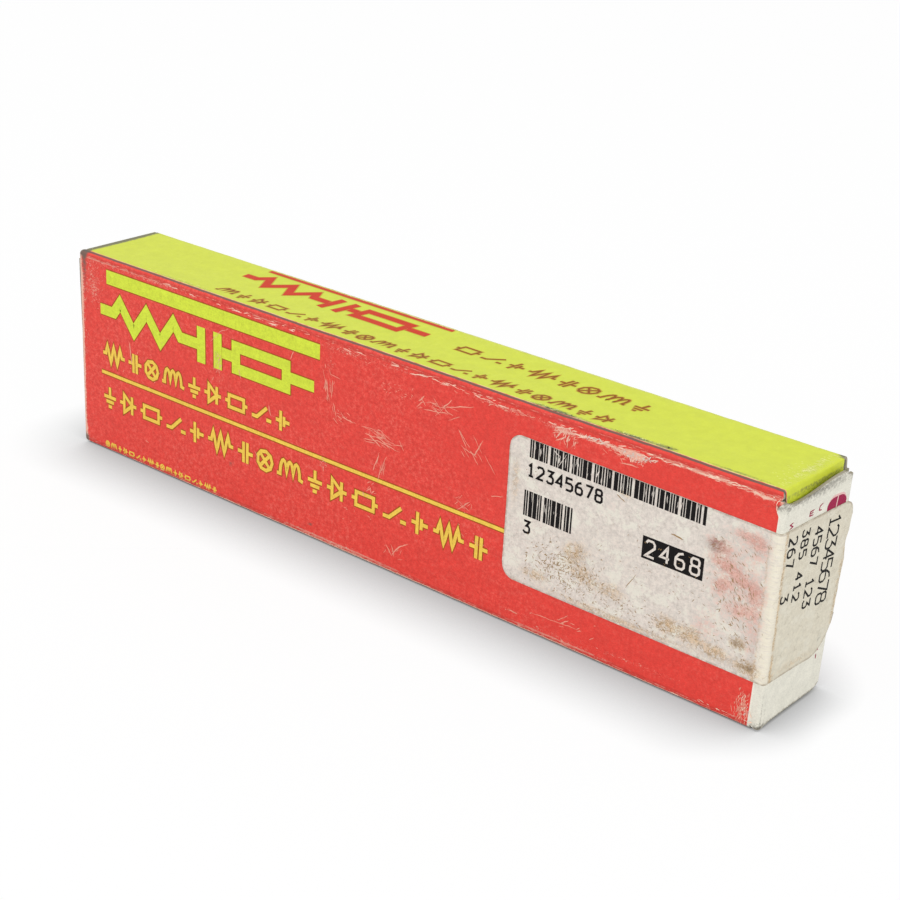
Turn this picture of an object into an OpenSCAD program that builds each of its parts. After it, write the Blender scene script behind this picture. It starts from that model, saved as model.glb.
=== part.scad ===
// Reverse-tuck folding carton of printed paperboard, worn from years in a drawer.
// It lies on one narrow panel. A paper label is stuck on the front and wraps
// round the right-hand fold on to the end closure.
// Frame: +X along the carton to the labelled end, +Z up, and the origin at the
// centre of the panel that it lies on. Lengths are in millimetres.

/* [Carton] */
// Outside length, from one closure's face to the other's
carton_l = 172; // [120:1:220]
// Outside height of the two large panels
carton_h = 43.6; // [36:0.2:60]
// Outside depth of the two narrow panels
carton_d = 21; // [18:0.5:30]
// Thickness of the board
board_t = 0.5; // [0.4:0.05:0.6]
// Outside radius of the long creased folds
fold_r = 0.9; // [0.8:0.1:1.2]
// Width of the glue flap that joins the blank inside the back panel
glue_flap_w = 12; // [8:1:16]

/* [Closures] */
// Radius of the rolled crease that a closure turns on
bead_r = 0.7; // [0.6:0.05:0.9]
// Play left round the rolled crease
bead_play = 0.25; // [0.2:0.05:0.35]
// Length of the tuck lip, measured along its curve
lip_len = 11; // [7:0.5:13]
// Corner radius of the tuck lip
lip_corner_r = 5; // [3:0.5:6]
// Length of the slit that frees each end of the lip from the fold
slit_len = 6; // [3:0.5:8]
// Angle that the right closure's top corner stands ajar
right_ajar = 3; // [0:0.5:5]
// Angle that the left closure's top corner stands ajar
left_ajar = 2; // [0:0.5:5]

/* [Dust flaps] */
// Length of a dust flap, down from the fold
dust_len = 17; // [10:0.5:18]
// Gap between a dust flap and the closure in front of it
dust_gap = 0.35; // [0.25:0.05:0.6]
// Depth of the shoulder that the closure's slit catches on
shoulder_in = 2.5; // [1:0.5:4]

/* [Label] */
// Length of the label before it was wrapped
label_l = 76.2; // [40:0.2:100]
// Height of the label
label_h = 28.6; // [20:0.2:32]
// Length of the label that lies on the front panel
label_front_l = 54.7; // [30:0.1:70]
// Height of the label's lower edge at the fold
label_z = 9.0; // [4:0.1:12]
// Slope of the label on the front panel
label_tilt = 0.45; // [0:0.05:2]
// Further slope of the part that was turned on to the closure
label_end_tilt = 2.6; // [0:0.1:4]
// Corner radius of the label
label_corner_r = 2.8; // [1:0.2:4]
// Radius of the label's worn lower corner on the closure
label_worn_r = 7; // [3:0.5:9]

/* [Wear] */
// Reach of the torn notch at the front panel's upper right corner
notch_w = 2.5; // [1.6:0.1:4]
// Depth of the notch's point below the top
notch_h = 2.5; // [1.6:0.1:4]
// Radius of the crushed lower corners
crush_r = 1.8; // [0.5:0.1:3]

/* [Hidden] */

$fn = 48;
hull_fn = 24;
lip_fn = 120;

red_ink = [0.89, 0.28, 0.26];
bare_board = [0.87, 0.86, 0.81];
label_paper = [0.87, 0.84, 0.80];

half_l = carton_l / 2;
half_d = carton_d / 2;

// The rolled crease's axis, measured from the end and from the hinged panel
axis_x = half_l - bead_r;
axis_y = half_d - bead_r;

// A cut runs past the face that it leaves by this much
past = 1;

// Radii about the rolled crease: the closure starts outside start_r, and the
// lip lies in the shell inside lip_r, so that it swings clear of the wall
start_r = bead_r + bead_play;
lip_play = 0.15;
lip_r = carton_d - board_t - bead_r - lip_play;
lip_turn = lip_len / (lip_r - board_t / 2) * 180 / PI;

// Where the long folds end, and where the plain tube meets the dust folds
dust_x = half_l - board_t - dust_gap;
tube_half = dust_x - fold_r;
raw_edge_x = half_l - board_t;

// Heights of the closures: narrower than the opening that they fill
closure_z0 = 0.8;
closure_z1 = carton_h - 1.2;
closure_h = closure_z1 - closure_z0;
closure_far_r = 3.5;
closure_top_r = 2;
lip_inset = 0.7;
twist_slices = 6;

// The hinged panel's edge stops short of the long folds
hinge_z0 = fold_r;
hinge_z1 = carton_h - fold_r;

// The slits lie just past the tuck fold
slit_w = 0.35;
slit_x = bead_r - fold_r - slit_w;
glue_flap_play = 6;
glue_flap_taper = 4;

// Dust flap outline, measured from the middle of the opening
dust_hinge_side = half_d - 1.9;
dust_tuck_side = half_d - 1.5;
dust_straight = 5;
dust_slope = 3;
dust_tip_in = 3.5;
dust_tip_r = 3;

label_t = 0.12;
label_start_x = half_l - label_front_l - bead_r;
label_end_l = label_l - label_front_l - PI / 2 * (bead_r + label_t / 2);
// Where the label leaves the rolled crease, and where it starts on the closure
label_wrap_turn = 48;
label_end_y = 0.75;

// A square with round corners, from the origin, as two bars and four discs
module round_rect(w, h, r) {
    translate([r, 0]) square([w - 2 * r, h]);
    translate([0, r]) square([w, h - 2 * r]);
    for (x = [r, w - r], y = [r, h - r]) translate([x, y]) circle(r);
}

// A sector of a ring about the origin, from angle a0 through turn degrees
module ring_sector(r_out, r_in, a0, turn) {
    steps = ceil(turn / 6);
    reach = r_out / cos(turn / steps / 2) + past;
    intersection() {
        difference() {
            circle(r_out);
            circle(r_in);
        }
        polygon(concat(
            [[0, 0]],
            [for (i = [0:steps]) reach * [cos(a0 + turn * i / steps), sin(a0 + turn * i / steps)]]
        ));
    }
}

// The other end of a reverse-tuck carton is the same end turned half round
module other_end() {
    rotate([0, 0, 180]) children();
}

// Lays a flat outline drawn in X and Z on a plane of constant Y
module on_front(y, t) {
    translate([0, y, 0]) rotate([90, 0, 0]) linear_extrude(t) children();
}

// Lays a flat outline drawn in Y and Z on a plane of constant X
module on_end(x, t) {
    translate([x, 0, 0]) rotate([90, 0, 90]) linear_extrude(t) children();
}

// Section of the sleeve across its length: four panels with rolled folds
module sleeve_section() {
    difference() {
        translate([-half_d, 0]) round_rect(carton_d, carton_h, fold_r);
        translate([-half_d + board_t, board_t])
            round_rect(carton_d - 2 * board_t, carton_h - 2 * board_t, fold_r - board_t);
    }
}

// The blank's joint: a tapered strip glued inside the back panel
module glue_flap() {
    half = tube_half - glue_flap_play;
    top = board_t + glue_flap_w;
    translate([0, half_d - board_t, 0]) rotate([90, 0, 0]) linear_extrude(board_t)
        polygon([
            [-half, board_t], [half, board_t],
            [half - glue_flap_taper, top], [-half + glue_flap_taper, top]
        ]);
}

// Outline of a dust flap across the opening, hanging from its fold
module dust_outline() {
    tip_z = -dust_len + dust_tip_r;
    far = dust_tuck_side - shoulder_in - dust_tip_r;
    near = -dust_hinge_side + dust_tip_in + dust_tip_r;
    polygon([
        [-dust_hinge_side, 0], [dust_tuck_side, 0], [dust_tuck_side, -dust_straight],
        [far + dust_tip_r, -dust_straight - dust_slope], [far + dust_tip_r, tip_z],
        [far, -dust_len], [near, -dust_len], [near - dust_tip_r, tip_z]
    ]);
    for (y = [near, far]) translate([y, tip_z]) circle(dust_tip_r);
}

// One dust flap, folded down inside the end from the upper narrow panel
module upper_dust_flap() {
    translate([0, 0, carton_h]) intersection() {
        on_end(tube_half, fold_r + past) dust_outline();
        translate([tube_half, half_d, 0]) rotate([90, 0, 0]) linear_extrude(carton_d) union() {
            translate([0, -fold_r]) ring_sector(fold_r, fold_r - board_t, 0, 90);
            translate([fold_r - board_t, -dust_len]) square([board_t, dust_len - fold_r]);
        }
    }
}

module dust_flaps() {
    upper_dust_flap();
    translate([0, 0, carton_h]) mirror([0, 0, 1]) upper_dust_flap();
}

// What stands past the plain tube at one end: the hinged panel with its rolled
// crease on the front, and the raw edge of the back panel
module end_edges() {
    hinge_h = hinge_z1 - hinge_z0;
    translate([tube_half - past, -half_d, hinge_z0])
        cube([axis_x - tube_half + past, board_t, hinge_h]);
    translate([axis_x, -axis_y, hinge_z0]) cylinder(r = bead_r, h = hinge_h);
    translate([tube_half - past, half_d - board_t, hinge_z0])
        cube([raw_edge_x - tube_half + past, board_t, hinge_h]);
}

// Lays a wear cut across the front panel and its rolled crease
module front_cut() {
    on_front(-half_d + 2 * bead_r + past / 2, 2 * bead_r + past) children();
}

// Wear cut from the front panel: the torn upper right corner
module torn_notch() {
    front_cut()
        polygon([
            [half_l - bead_r, carton_h], [half_l - notch_w, carton_h - notch_h],
            [half_l - notch_w + bead_r, carton_h - 1.4 * notch_h],
            [half_l + past, carton_h - 1.4 * notch_h], [half_l + past, carton_h]
        ]);
}

// Wear cut from a lower corner of the front panel: what lies outside a quarter
// round of the crushed radius
module crushed_corner() {
    front_cut()
        difference() {
            translate([half_l - crush_r, -past]) square([crush_r + past, crush_r + hinge_z0 + past]);
            translate([half_l - crush_r, hinge_z0 + crush_r]) circle(crush_r);
        }
}

module carton_sleeve() {
    color(red_ink) difference() {
        union() {
            translate([-tube_half, 0, 0]) rotate([90, 0, 90])
                linear_extrude(2 * tube_half) sleeve_section();
            glue_flap();
            for (turn = [0, 180]) rotate([0, 0, turn]) {
                dust_flaps();
                end_edges();
            }
        }
        torn_notch();
        for (side = [0, 1]) mirror([side, 0, 0]) crushed_corner();
    }
}

// Plan of a closure and its lip about the rolled crease: the end panel, the
// tuck fold, and the lip on an arc about the crease
module closure_plan() {
    fold_x = bead_r - fold_r;
    fold_y = lip_r - fold_r;
    difference() {
        translate([bead_r - board_t, 0]) square([board_t, fold_y]);
        circle(start_r);
    }
    translate([fold_x, fold_y]) ring_sector(fold_r, fold_r - board_t, 0, 90);
    ring_sector(lip_r, lip_r - board_t, 90 + asin(-fold_x / lip_r), lip_turn, $fn = lip_fn);
}

// Outline of the end panel seen from outside: worn round at the far corners
module closure_outline() {
    far = lip_r + past;
    hull() {
        square([past, closure_h]);
        translate([far - closure_far_r, closure_far_r]) circle(closure_far_r, $fn = hull_fn);
        translate([far - closure_top_r, closure_h - closure_top_r])
            circle(closure_top_r, $fn = hull_fn);
    }
}

// Outline of the lip seen from the front: large corners, so that it slips in
module lip_outline() {
    lip_h = closure_h - 2 * lip_inset;
    translate([-lip_len, lip_inset]) hull() {
        for (z = [lip_corner_r, lip_h - lip_corner_r])
            translate([lip_corner_r, z]) circle(lip_corner_r, $fn = hull_fn);
        translate([lip_len + slit_x - past, 0]) square([past + slit_w, lip_h]);
    }
}

// One closure about its rolled crease, twisted so that the top stands ajar
module closure(ajar) {
    intersection() {
        linear_extrude(closure_h, twist = ajar, slices = twist_slices) closure_plan();
        union() {
            on_end(slit_x, lip_r) closure_outline();
            on_front(2 * lip_r, 2 * lip_r) lip_outline();
        }
        slit_cuts();
    }
}

// Everything but the two slits between the end panel and the lip
module slit_cuts() {
    difference() {
        translate([-lip_r, -past, -past]) cube([2 * lip_r, lip_r + 2 * past, closure_h + 2 * past]);
        for (z = [-past, closure_h - slit_len])
            translate([slit_x, lip_r - 2 * fold_r, z])
                cube([slit_w, 2 * fold_r + past, slit_len + past]);
    }
}

module right_closure_flap() {
    color(bare_board) translate([axis_x, -axis_y, closure_z0]) closure(right_ajar);
}

module left_closure_flap() {
    color(bare_board) other_end() translate([axis_x, -axis_y, closure_z0]) closure(left_ajar);
}

// The part of the label on the front panel, and as far round the crease as
// the sleeve goes
module label_front() {
    color(label_paper) {
        intersection() {
            on_front(-half_d, label_t)
                translate([axis_x, label_z]) rotate(-label_tilt) translate([label_start_x - axis_x, 0])
                    round_rect(label_front_l + 2 * label_corner_r, label_h, label_corner_r);
            translate([0, -half_d - past, 0]) cube([axis_x, 2 * past, carton_h]);
        }
        translate([axis_x, -axis_y, label_z]) linear_extrude(label_h)
            ring_sector(bead_r + label_t, bead_r, -90, label_wrap_turn);
    }
}

// Outline of the part of the label on the closure, with its worn far edge
module label_end_outline() {
    top_x = label_end_l - label_corner_r;
    rotate(-label_end_tilt) hull() {
        translate([-past, 0]) square([past, label_h]);
        translate([label_end_l - label_worn_r - past, label_worn_r])
            circle(label_worn_r, $fn = hull_fn);
        translate([top_x, label_h - label_corner_r]) circle(label_corner_r, $fn = hull_fn);
    }
}

// The part of the label on the right closure, which twists with it, lies flush
// on it and stands past its far edge
module label_end() {
    rise = label_z - closure_z0;
    color(label_paper) translate([axis_x, -axis_y, closure_z0]) difference() {
        intersection() {
            linear_extrude(closure_h, twist = right_ajar, slices = twist_slices)
                translate([bead_r, label_end_y]) square([label_t, label_end_l + past]);
            on_end(0, lip_r) translate([0, rise]) label_end_outline();
        }
        closure(right_ajar);
    }
}

carton_sleeve();
right_closure_flap();
left_closure_flap();
label_front();
label_end();
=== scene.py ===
"""Looks of a worn tuck-end carton of printed board with a paper label.

The board is one sheet, so every point of it has a place on the flat blank: u in
millimetres along the carton, v in millimetres round it. Shapes are functions of
that place, and the print, grain and wear read it from the attribute "place".
"""

import math
from functools import partialmethod
from types import SimpleNamespace

import bpy
import numpy as np
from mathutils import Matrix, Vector


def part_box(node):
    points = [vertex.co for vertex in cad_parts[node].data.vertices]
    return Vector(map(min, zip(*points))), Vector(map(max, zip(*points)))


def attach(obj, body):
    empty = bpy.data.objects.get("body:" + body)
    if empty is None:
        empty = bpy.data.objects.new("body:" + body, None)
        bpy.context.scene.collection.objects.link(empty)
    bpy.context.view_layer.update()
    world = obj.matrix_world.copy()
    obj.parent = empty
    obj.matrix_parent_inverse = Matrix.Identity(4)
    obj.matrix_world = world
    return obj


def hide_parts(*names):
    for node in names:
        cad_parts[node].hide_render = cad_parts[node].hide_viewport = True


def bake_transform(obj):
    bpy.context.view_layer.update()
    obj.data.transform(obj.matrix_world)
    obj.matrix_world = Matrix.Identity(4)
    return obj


bl_info = {
    "name": "Worn tuck-end carton",
    "version": (1, 0, 0),
    "blender": (4, 5, 0),
    "location": "3D View > Sidebar > Carton",
    "description": "Dresses the packed carton with board, print, a paper label and wear",
    "category": "Object",
}

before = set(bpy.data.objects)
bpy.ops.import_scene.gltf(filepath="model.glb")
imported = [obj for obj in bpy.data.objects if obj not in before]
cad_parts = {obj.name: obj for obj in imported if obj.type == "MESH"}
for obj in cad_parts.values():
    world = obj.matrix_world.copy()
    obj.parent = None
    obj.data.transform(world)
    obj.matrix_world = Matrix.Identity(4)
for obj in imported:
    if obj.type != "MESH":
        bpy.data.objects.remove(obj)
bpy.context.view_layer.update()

# Sizes in metres
MM = 0.001
SHADOW_REACH = 0.0185
FLOOR_HALF = 6.0
LAMP_AIM = (0, 0, 0.02)
LAMP_SIZE = 0.7
# The floor's grey for light that falls on it, for the camera, and its glow
FLOOR_GREY = 0.65
FLOOR_SEEN = 0.08
FLOOR_GLOW = 0.915
# Angles of the label on each face and of a closure's lower end
LABEL_TILT = math.radians(0.45)
LABEL_END_TILT = math.radians(2.6)
PUSHED_IN = math.radians(0.6)
# Sizes in millimetres. Faces lie SUNK inside the CAD's. MARGIN is left before a crease, and past FINE_U
# the sleeve's grid is finer. GLUE_HALF is half the glue flap's length. The label's path starts LABEL_LEAD
# before the crease. A dark rim is TRAP wider than its mark. What is closer than NEAR counts as equal, and
# what is FAR from an edge doesn't show it. The front panel's right end is torn from TORN_V up to TIP_V.
SENSOR = 36
SUNK = 0.03
MARGIN = 0.35
GLUE_FLAP = 12
GLUE_HALF = 78.25
FINE_U = 82.5
LIP_LENGTH = 11.1
SLIT_WIDTH = 0.35
SLIT_LENGTH = 6.0
DUST_TIP_R = 3.0
DUST_TIP_Z = 14.0
DUST_PRINT = 9
LIME_OVER = 1.25
TORN_V = 41.9
TIP_V = 44.3
PRINT_END = 84.0
FAR = 9.0
LABEL_Z = 8.9
LABEL_LIFT = 0.09
LABEL_LEAD = 60.0
LABEL_THICKNESS = 0.08
LABEL_SOLID = 0.12
LABEL_INK_LIFT = 0.106
PRINT_LIFT = 0.02
HAIR = 0.0015
TRAP = 0.45
NEAR = 1e-5


def srgb(red, green, blue):
    """A colour as linear light, from the 0 to 255 values that a screen shows."""
    parts = np.array([red, green, blue]) / 255
    linear = np.where(parts <= 0.04045, parts / 12.92, ((parts + 0.055) / 1.055) ** 2.4)
    return tuple(float(x) for x in linear)


def length_property(name, description, default):
    """A length in metres, shown in the scene's units."""
    return bpy.props.FloatProperty(
        name=name, description=description, default=default, precision=5, unit="LENGTH", subtype="DISTANCE"
    )


def angle_property(name, description, degrees):
    """An angle, kept in radians and shown in degrees."""
    return bpy.props.FloatProperty(
        name=name, description=description, default=math.radians(degrees), unit="ROTATION", subtype="ANGLE"
    )


def colour_property(name, description, *screen):
    """A colour, kept in linear light and given by the values that a screen shows."""
    return bpy.props.FloatVectorProperty(
        name=name, description=description, default=srgb(*screen), size=3, min=0, max=1, subtype="COLOR"
    )


class CartonSizes(bpy.types.PropertyGroup):
    """Sizes of the carton and its label."""

    length: length_property("Length", "Outside length, from closure to closure", 0.172)
    height: length_property("Height", "Height of the two large panels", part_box("carton_sleeve")[1].z)
    depth: length_property("Depth", "Depth of the two narrow panels", 0.021)
    board: length_property("Board", "Thickness of the board", 0.0005)
    fold: length_property("Fold", "Outside radius of the long folds", 0.0009)
    crease: length_property("Crease", "Outside radius of a closure's crease", 0.0007)
    right_ajar: angle_property("Right ajar", "How far the right closure's top stands open", 3)
    left_ajar: angle_property("Left ajar", "How far the left closure's top stands open", 2)
    label_length: length_property("Label length", "Length of the label laid flat", 0.0762)
    label_height: length_property("Label height", "Height of the label", 0.0286)
    label_front: length_property("Label on front", "Length of the label on the front panel", 0.0547)


class CartonColours(bpy.types.PropertyGroup):
    """Colours of the board, the inks and the label."""

    red: colour_property("Red", "Ink of the large panels", 229, 66, 56)
    lime: colour_property("Lime", "Ink of the narrow panels", 209, 219, 60)
    yellow: colour_property("Yellow", "Thin marks over the red", 243, 206, 86)
    bright: colour_property("Bright yellow", "Bold marks over the red", 213, 229, 70)
    brown: colour_property("Brown", "Thin marks over the lime", 146, 84, 4)
    orange: colour_property("Orange red", "Bold marks over the lime", 206, 56, 28)
    board: colour_property("Board", "Clean face of the board", 232, 229, 215)
    inside: colour_property("Inside", "Inner face of the board", 205, 200, 186)
    cut: colour_property("Cut edge", "Cut edge of the board", 168, 160, 143)
    worn: colour_property("Worn", "Board that shows through rubbed ink", 244, 206, 184)
    pale_lime: colour_property("Worn lime", "Board that shows through rubbed lime", 231, 232, 148)
    scratch: colour_property("Scratch", "Thin scratches in the red", 242, 164, 142)
    lime_scratch: colour_property("Lime scratch", "Thin scratches in the lime", 240, 241, 158)
    blush: colour_property("Blush", "Pale grain of the red ink", 246, 138, 122)
    paper: colour_property("Label", "Clean label paper", 226, 217, 207)
    black: colour_property("Black", "Print on the label", 16, 13, 13)
    wine: colour_property("Wine", "Small coloured marks beside the label", 158, 36, 74)
    halo: colour_property("Pale red", "Rim of the marks beside the label", 232, 190, 186)
    pink: colour_property("Pink stain", "Pink rubbed on to the label", 222, 138, 118)
    tan: colour_property("Brown stain", "Brown stains and specks on the label", 146, 116, 82)
    old_paper: colour_property("Label end", "Label paper on the closure", 223, 216, 197)
    ochre: colour_property("Ochre stain", "Rings and stains dried on the label", 214, 174, 118)
    trap: colour_property("Red trap", "Dark rim of the marks over the red", 166, 84, 34)
    lime_trap: colour_property("Lime trap", "Dark rim of the marks over the lime", 196, 170, 52)


class CartonStage(bpy.types.PropertyGroup):
    """Camera and light."""

    lens: bpy.props.FloatProperty(name="Lens", description="Focal length on a 36 mm sensor", default=75.43)
    place: bpy.props.FloatVectorProperty(
        name="Camera place", description="Where the camera stands", default=(0.21584, -0.25328, 0.16308),
        size=3, unit="LENGTH", subtype="TRANSLATION",
    )
    turn: bpy.props.FloatVectorProperty(
        name="Camera turn", description="How the camera is turned",
        default=tuple(math.radians(x) for x in (66.941, -2.574, 40.374)), size=3, subtype="EULER",
    )
    sky: bpy.props.FloatProperty(name="Sky", description="Strength of the even light", default=0.88)
    key: bpy.props.FloatProperty(name="Key", description="Power of the large soft lamp", default=2.2)
    fill: bpy.props.FloatProperty(name="Fill", description="Power of the lamp on the right", default=2.2)


def plan():
    """The carton's sizes in millimetres, with what follows from them.

    v is 0 at the lower edge of the front panel, so v is the height there. It
    goes up the front, over the top and down the back. Below 0 it goes under the
    bottom panel and then up the glue flap. A quarter fold takes arc of it.
    """
    s = bpy.context.scene.carton_sizes
    p = SimpleNamespace()
    p.length, p.height, p.depth = s.length / MM, s.height / MM, s.depth / MM
    p.board, p.fold, p.crease = s.board / MM, s.fold / MM, s.crease / MM
    p.ajar = {1: s.right_ajar, -1: s.left_ajar}
    p.label_l, p.label_h, p.label_front = s.label_length / MM, s.label_height / MM, s.label_front / MM
    p.arc = math.pi / 2 * p.fold
    p.half_l, p.half_d = p.length / 2, p.depth / 2
    p.axis_x, p.axis_y = p.half_l - p.crease, p.half_d - p.crease
    p.flat_d = p.depth - 2 * p.fold
    p.flap_top = p.board + GLUE_FLAP
    p.raw_z = 0.45
    p.front_v = (p.fold, p.height - p.fold)
    p.top_v = (p.front_v[1] + p.arc, p.front_v[1] + p.arc + p.flat_d)
    p.back_v = (p.top_v[1] + p.arc, p.top_v[1] + p.arc + p.height - p.fold - p.raw_z)
    p.bottom_v = (p.front_v[0] - p.arc - p.flat_d + p.board, p.front_v[0] - p.arc)
    p.flap_v = (p.bottom_v[0] - p.arc - p.flap_top + p.fold, p.bottom_v[0] - p.arc)
    p.folds = [
        p.front_v[0] - p.arc / 2, p.front_v[1] + p.arc / 2, p.top_v[1] + p.arc / 2, p.bottom_v[0] - p.arc / 2
    ]
    p.tube_half = p.half_l - p.board - MARGIN - p.fold
    p.dust_r = 0.4
    p.dust_arc = p.fold - p.dust_r + math.pi / 2 * p.dust_r
    p.raw_x = p.half_l - p.board
    p.join_x = p.axis_x - MARGIN
    p.closure_z = (0.8, p.height - 1.2)
    p.lip_r = p.depth - p.board - p.crease - 0.15
    return p


def spaced(first, *rest):
    """Positions from first on; rest gives, in turn, the longest step and the stop of each stretch."""
    cuts = [np.array([float(first)])]
    for step, stop in zip(rest[::2], rest[1::2]):
        start = cuts[-1][-1]
        count = max(1, math.ceil(abs(stop - start) / step - 1e-6))
        cuts.append(np.linspace(start, stop, count + 1)[1:])
    return np.concatenate(cuts)


def smooth(value, low, high):
    """0 below low and 1 above high, with 3 t squared less 2 t cubed between them."""
    t = np.clip((np.asarray(value, float) - low) / (high - low), 0, 1)
    return t * t * (3 - 2 * t)


def ripple(along, seed=0.0):
    """A slow uneven wave from -1 to 1: four sines whose lengths share no factor."""
    waves = [(9.7, 0.34), (5.3, 0.28), (2.9, 0.22), (1.7, 0.16)]
    return sum(a * np.sin(2 * math.pi * along / w + seed * (3 + w)) for w, a in waves)


def spots(u, v, marks):
    """Sum of soft oval spots: each mark is u, v, half sizes along u and v, turn in degrees, strength."""
    total = np.zeros(np.shape(u))
    for u0, v0, ru, rv, turn, strength in marks:
        c, s = math.cos(math.radians(turn)), math.sin(math.radians(turn))
        a = ((u - u0) * c + (v - v0) * s) / ru
        b = (-(u - u0) * s + (v - v0) * c) / rv
        total = total + strength * np.exp(-(a * a + b * b))
    return total


def bent_path(start, heading, runs, along):
    """Points and left-hand normals of a flat strip bent in a plane, at distances along it.

    Each run is a length and the angle that it turns through, left positive. A run
    that turns is an arc of radius length / angle about a centre on its left, and
    one that doesn't is straight. The first and last runs go on past their ends.
    """
    along = np.asarray(along, float)
    points = np.zeros(along.shape + (2,))
    normals = np.zeros_like(points)
    corner, angle, begin = np.array(start, float), heading, 0.0
    for number, (length, turn) in enumerate(runs):
        here = along >= begin if number else np.ones(along.shape, bool)
        step = (along[here] - begin)[:, None]
        left = np.array([-math.sin(angle), math.cos(angle)])
        if turn:
            radius = length / turn
            centre = corner + radius * left
            swung = angle + step / radius
            normals[here] = np.concatenate([-np.sin(swung), np.cos(swung)], axis=1)
            points[here] = centre - radius * normals[here]
            angle += turn
            corner = centre - radius * np.array([-math.sin(angle), math.cos(angle)])
        else:
            forward = np.array([math.cos(angle), math.sin(angle)])
            points[here] = corner + step * forward
            normals[here] = left
            corner = corner + length * forward
        begin += length
    return points, normals


# Rubbed places, dirt with some painted shade, and dents of the blank: u, v, half sizes, turn in degrees,
# strength
SCUFFS = [
    (-60, 42.0, 9, 0.4, 0, 0.5), (-30, 42.1, 8, 0.4, 0, 0.4), (-9, 41.5, 6, 0.9, 0, 0.45),
    (-13, 38.5, 2, 2.5, 0, 0.32), (6, 41.6, 8, 0.6, 0, 0.45), (4, 37, 4, 2.5, 0, 0.27),
    (13, 37, 5, 2.0, 0, 0.3), (-13, 33, 2, 4.5, 0, 0.28), (0, 26.8, 6, 2.2, 0, 0.3),
    (-9, 28, 3, 1.5, 0, 0.28), (-1, 21, 2.5, 3, 0, 0.25), (30, 41.4, 9, 0.6, 0, 0.6),
    (42, 40.9, 3.2, 0.9, 0, 0.65), (53, 41.1, 8, 0.6, 0, 0.85), (57, 40.6, 2.2, 1.0, 0, 0.9),
    (71, 42.0, 10, 0.45, 0, 0.75), (82, 41.6, 3, 0.7, 0, 0.6), (-85.2, 29, 0.7, 14, 0, 0.7),
    (-85.3, 10, 0.6, 10, 0, 0.45), (-81.5, 37, 3.5, 6, 0, 0.5), (-74, 42, 8, 0.7, 0, 0.35),
    (82.4, 3.6, 1.6, 2.6, 0, 0.42), (-43.6, 29.5, 1.3, 3.0, 10, 0.6), (-14.5, 16.8, 1.2, 1.4, 0, 0.6),
    (34, 3.0, 6, 0.5, 0, 0.35), (10, 0.4, 80, 0.45, 0, 0.6), (-85.2, 2, 0.9, 2.5, 0, 0.6),
    (-3, 14.2, 3, 2.5, 30, 0.28), (21, 14, 3, 2.0, 0, 0.25), (-70, 20, 9, 12, 0, 0.1),
    (-10, 1.2, 16, 0.6, 0, 0.45), (45, 1.6, 12, 0.9, 0, 0.4), (62, 3, 14, 0.7, 0, 0.35),
    (0, 63.3, 95, 0.25, 0, 0.95), (84.3, 54, 1.1, 9, 0, 0.5), (0, 0.36, 95, 0.17, 0, 0.9),
    (58, 44.9, 6, 0.35, 0, 0.5), (50, 79, 9, 3, 15, 0.3), (-30, 96, 14, 1.2, 0, 0.3),
    (60, 103, 12, 0.8, 0, 0.45), (-70, 66, 12, 0.6, 0, 0.5), (80, 100, 4, 5, 0, 0.3),
    (-20, 74, 8, 4, 20, 0.25),
]
# Dirt, with painted shade as well: in the torn notch at the right end of the front panel, and on the right
# top dust flap just above the closure's top edge
GRIME_AND_SHADE = [
    (38.7, 44.5, 5, 0.4, 0, 0.8), (56, 44.8, 3.4, 0.5, 0, 0.9), (62, 45.0, 2.4, 0.6, 0, 0.85),
    (47, 44.5, 9, 0.25, 0, 0.5), (76, 44.7, 7, 0.3, 0, 0.6), (-55, 44.6, 14, 0.22, 0, 0.5),
    (-84.2, 54, 0.75, 14, 0, 1.6), (-84.8, 43.7, 1.3, 1.0, 0, 1.4), (86.8, 54, 0.5, 14, 0, 0.6),
    (84.7, 63.4, 0.9, 0.8, 0, 1.2), (-85.1, 0.9, 0.8, 1.1, 0, 1.0), (-85.45, 20, 0.22, 26, 0, 0.5),
    (0, 63.62, 95, 0.13, 0, 0.8), (85.6, 1.2, 1.4, 0.8, 0, 0.3), (20, -0.5, 80, 0.25, 0, 0.6),
    (84.8, 40.7, 0.5, 0.6, 20, 0.45), (85.7, 41.8, 0.5, 0.9, 0, 0.5), (-40, 8.9, 0.5, 0.3, 0, 0.9),
    (-33, 5.5, 0.4, 0.3, 0, 0.8), (-105.9, 76, 1.3, 13, 0, 0.9), (30, 60, 30, 1.2, 3, 0.1),
    (-17.1, 3.1, 0.5, 0.35, 0, 0.9), (-12.4, 5.8, 0.6, 0.4, 20, 1.0), (0, 0.06, 95, 0.13, 0, 0.8),
    (-43.9, 31, 0.8, 1.8, 10, 0.35), (97, 40.7, 12, 1.0, 2, 0.42), (97, 0.9, 12, 0.2, 0, 0.8),
    (105.5, 22, 0.3, 22, 0, 0.5), (97, 41.4, 12, 0.4, 4, 0.35), (86.2, 4, 0.2, 4, 0, 0.4),
    (87.3, 3.5, 0.2, 4, 0, 0.35), (85.9, 0.5, 0.9, 0.4, 0, 0.4),
]
DENTS = [
    (40, 43.4, 5, 1.0, 0, 0.16), (-20, 43.4, 7, 1.0, 0, 0.1), (74, 43.4, 4, 1.0, 0, 0.12),
    (-84, 5, 4, 5, 0, 0.15), (10, 20, 22, 9, 20, 0.1), (-40, 30, 16, 8, -10, 0.1),
]


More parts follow.
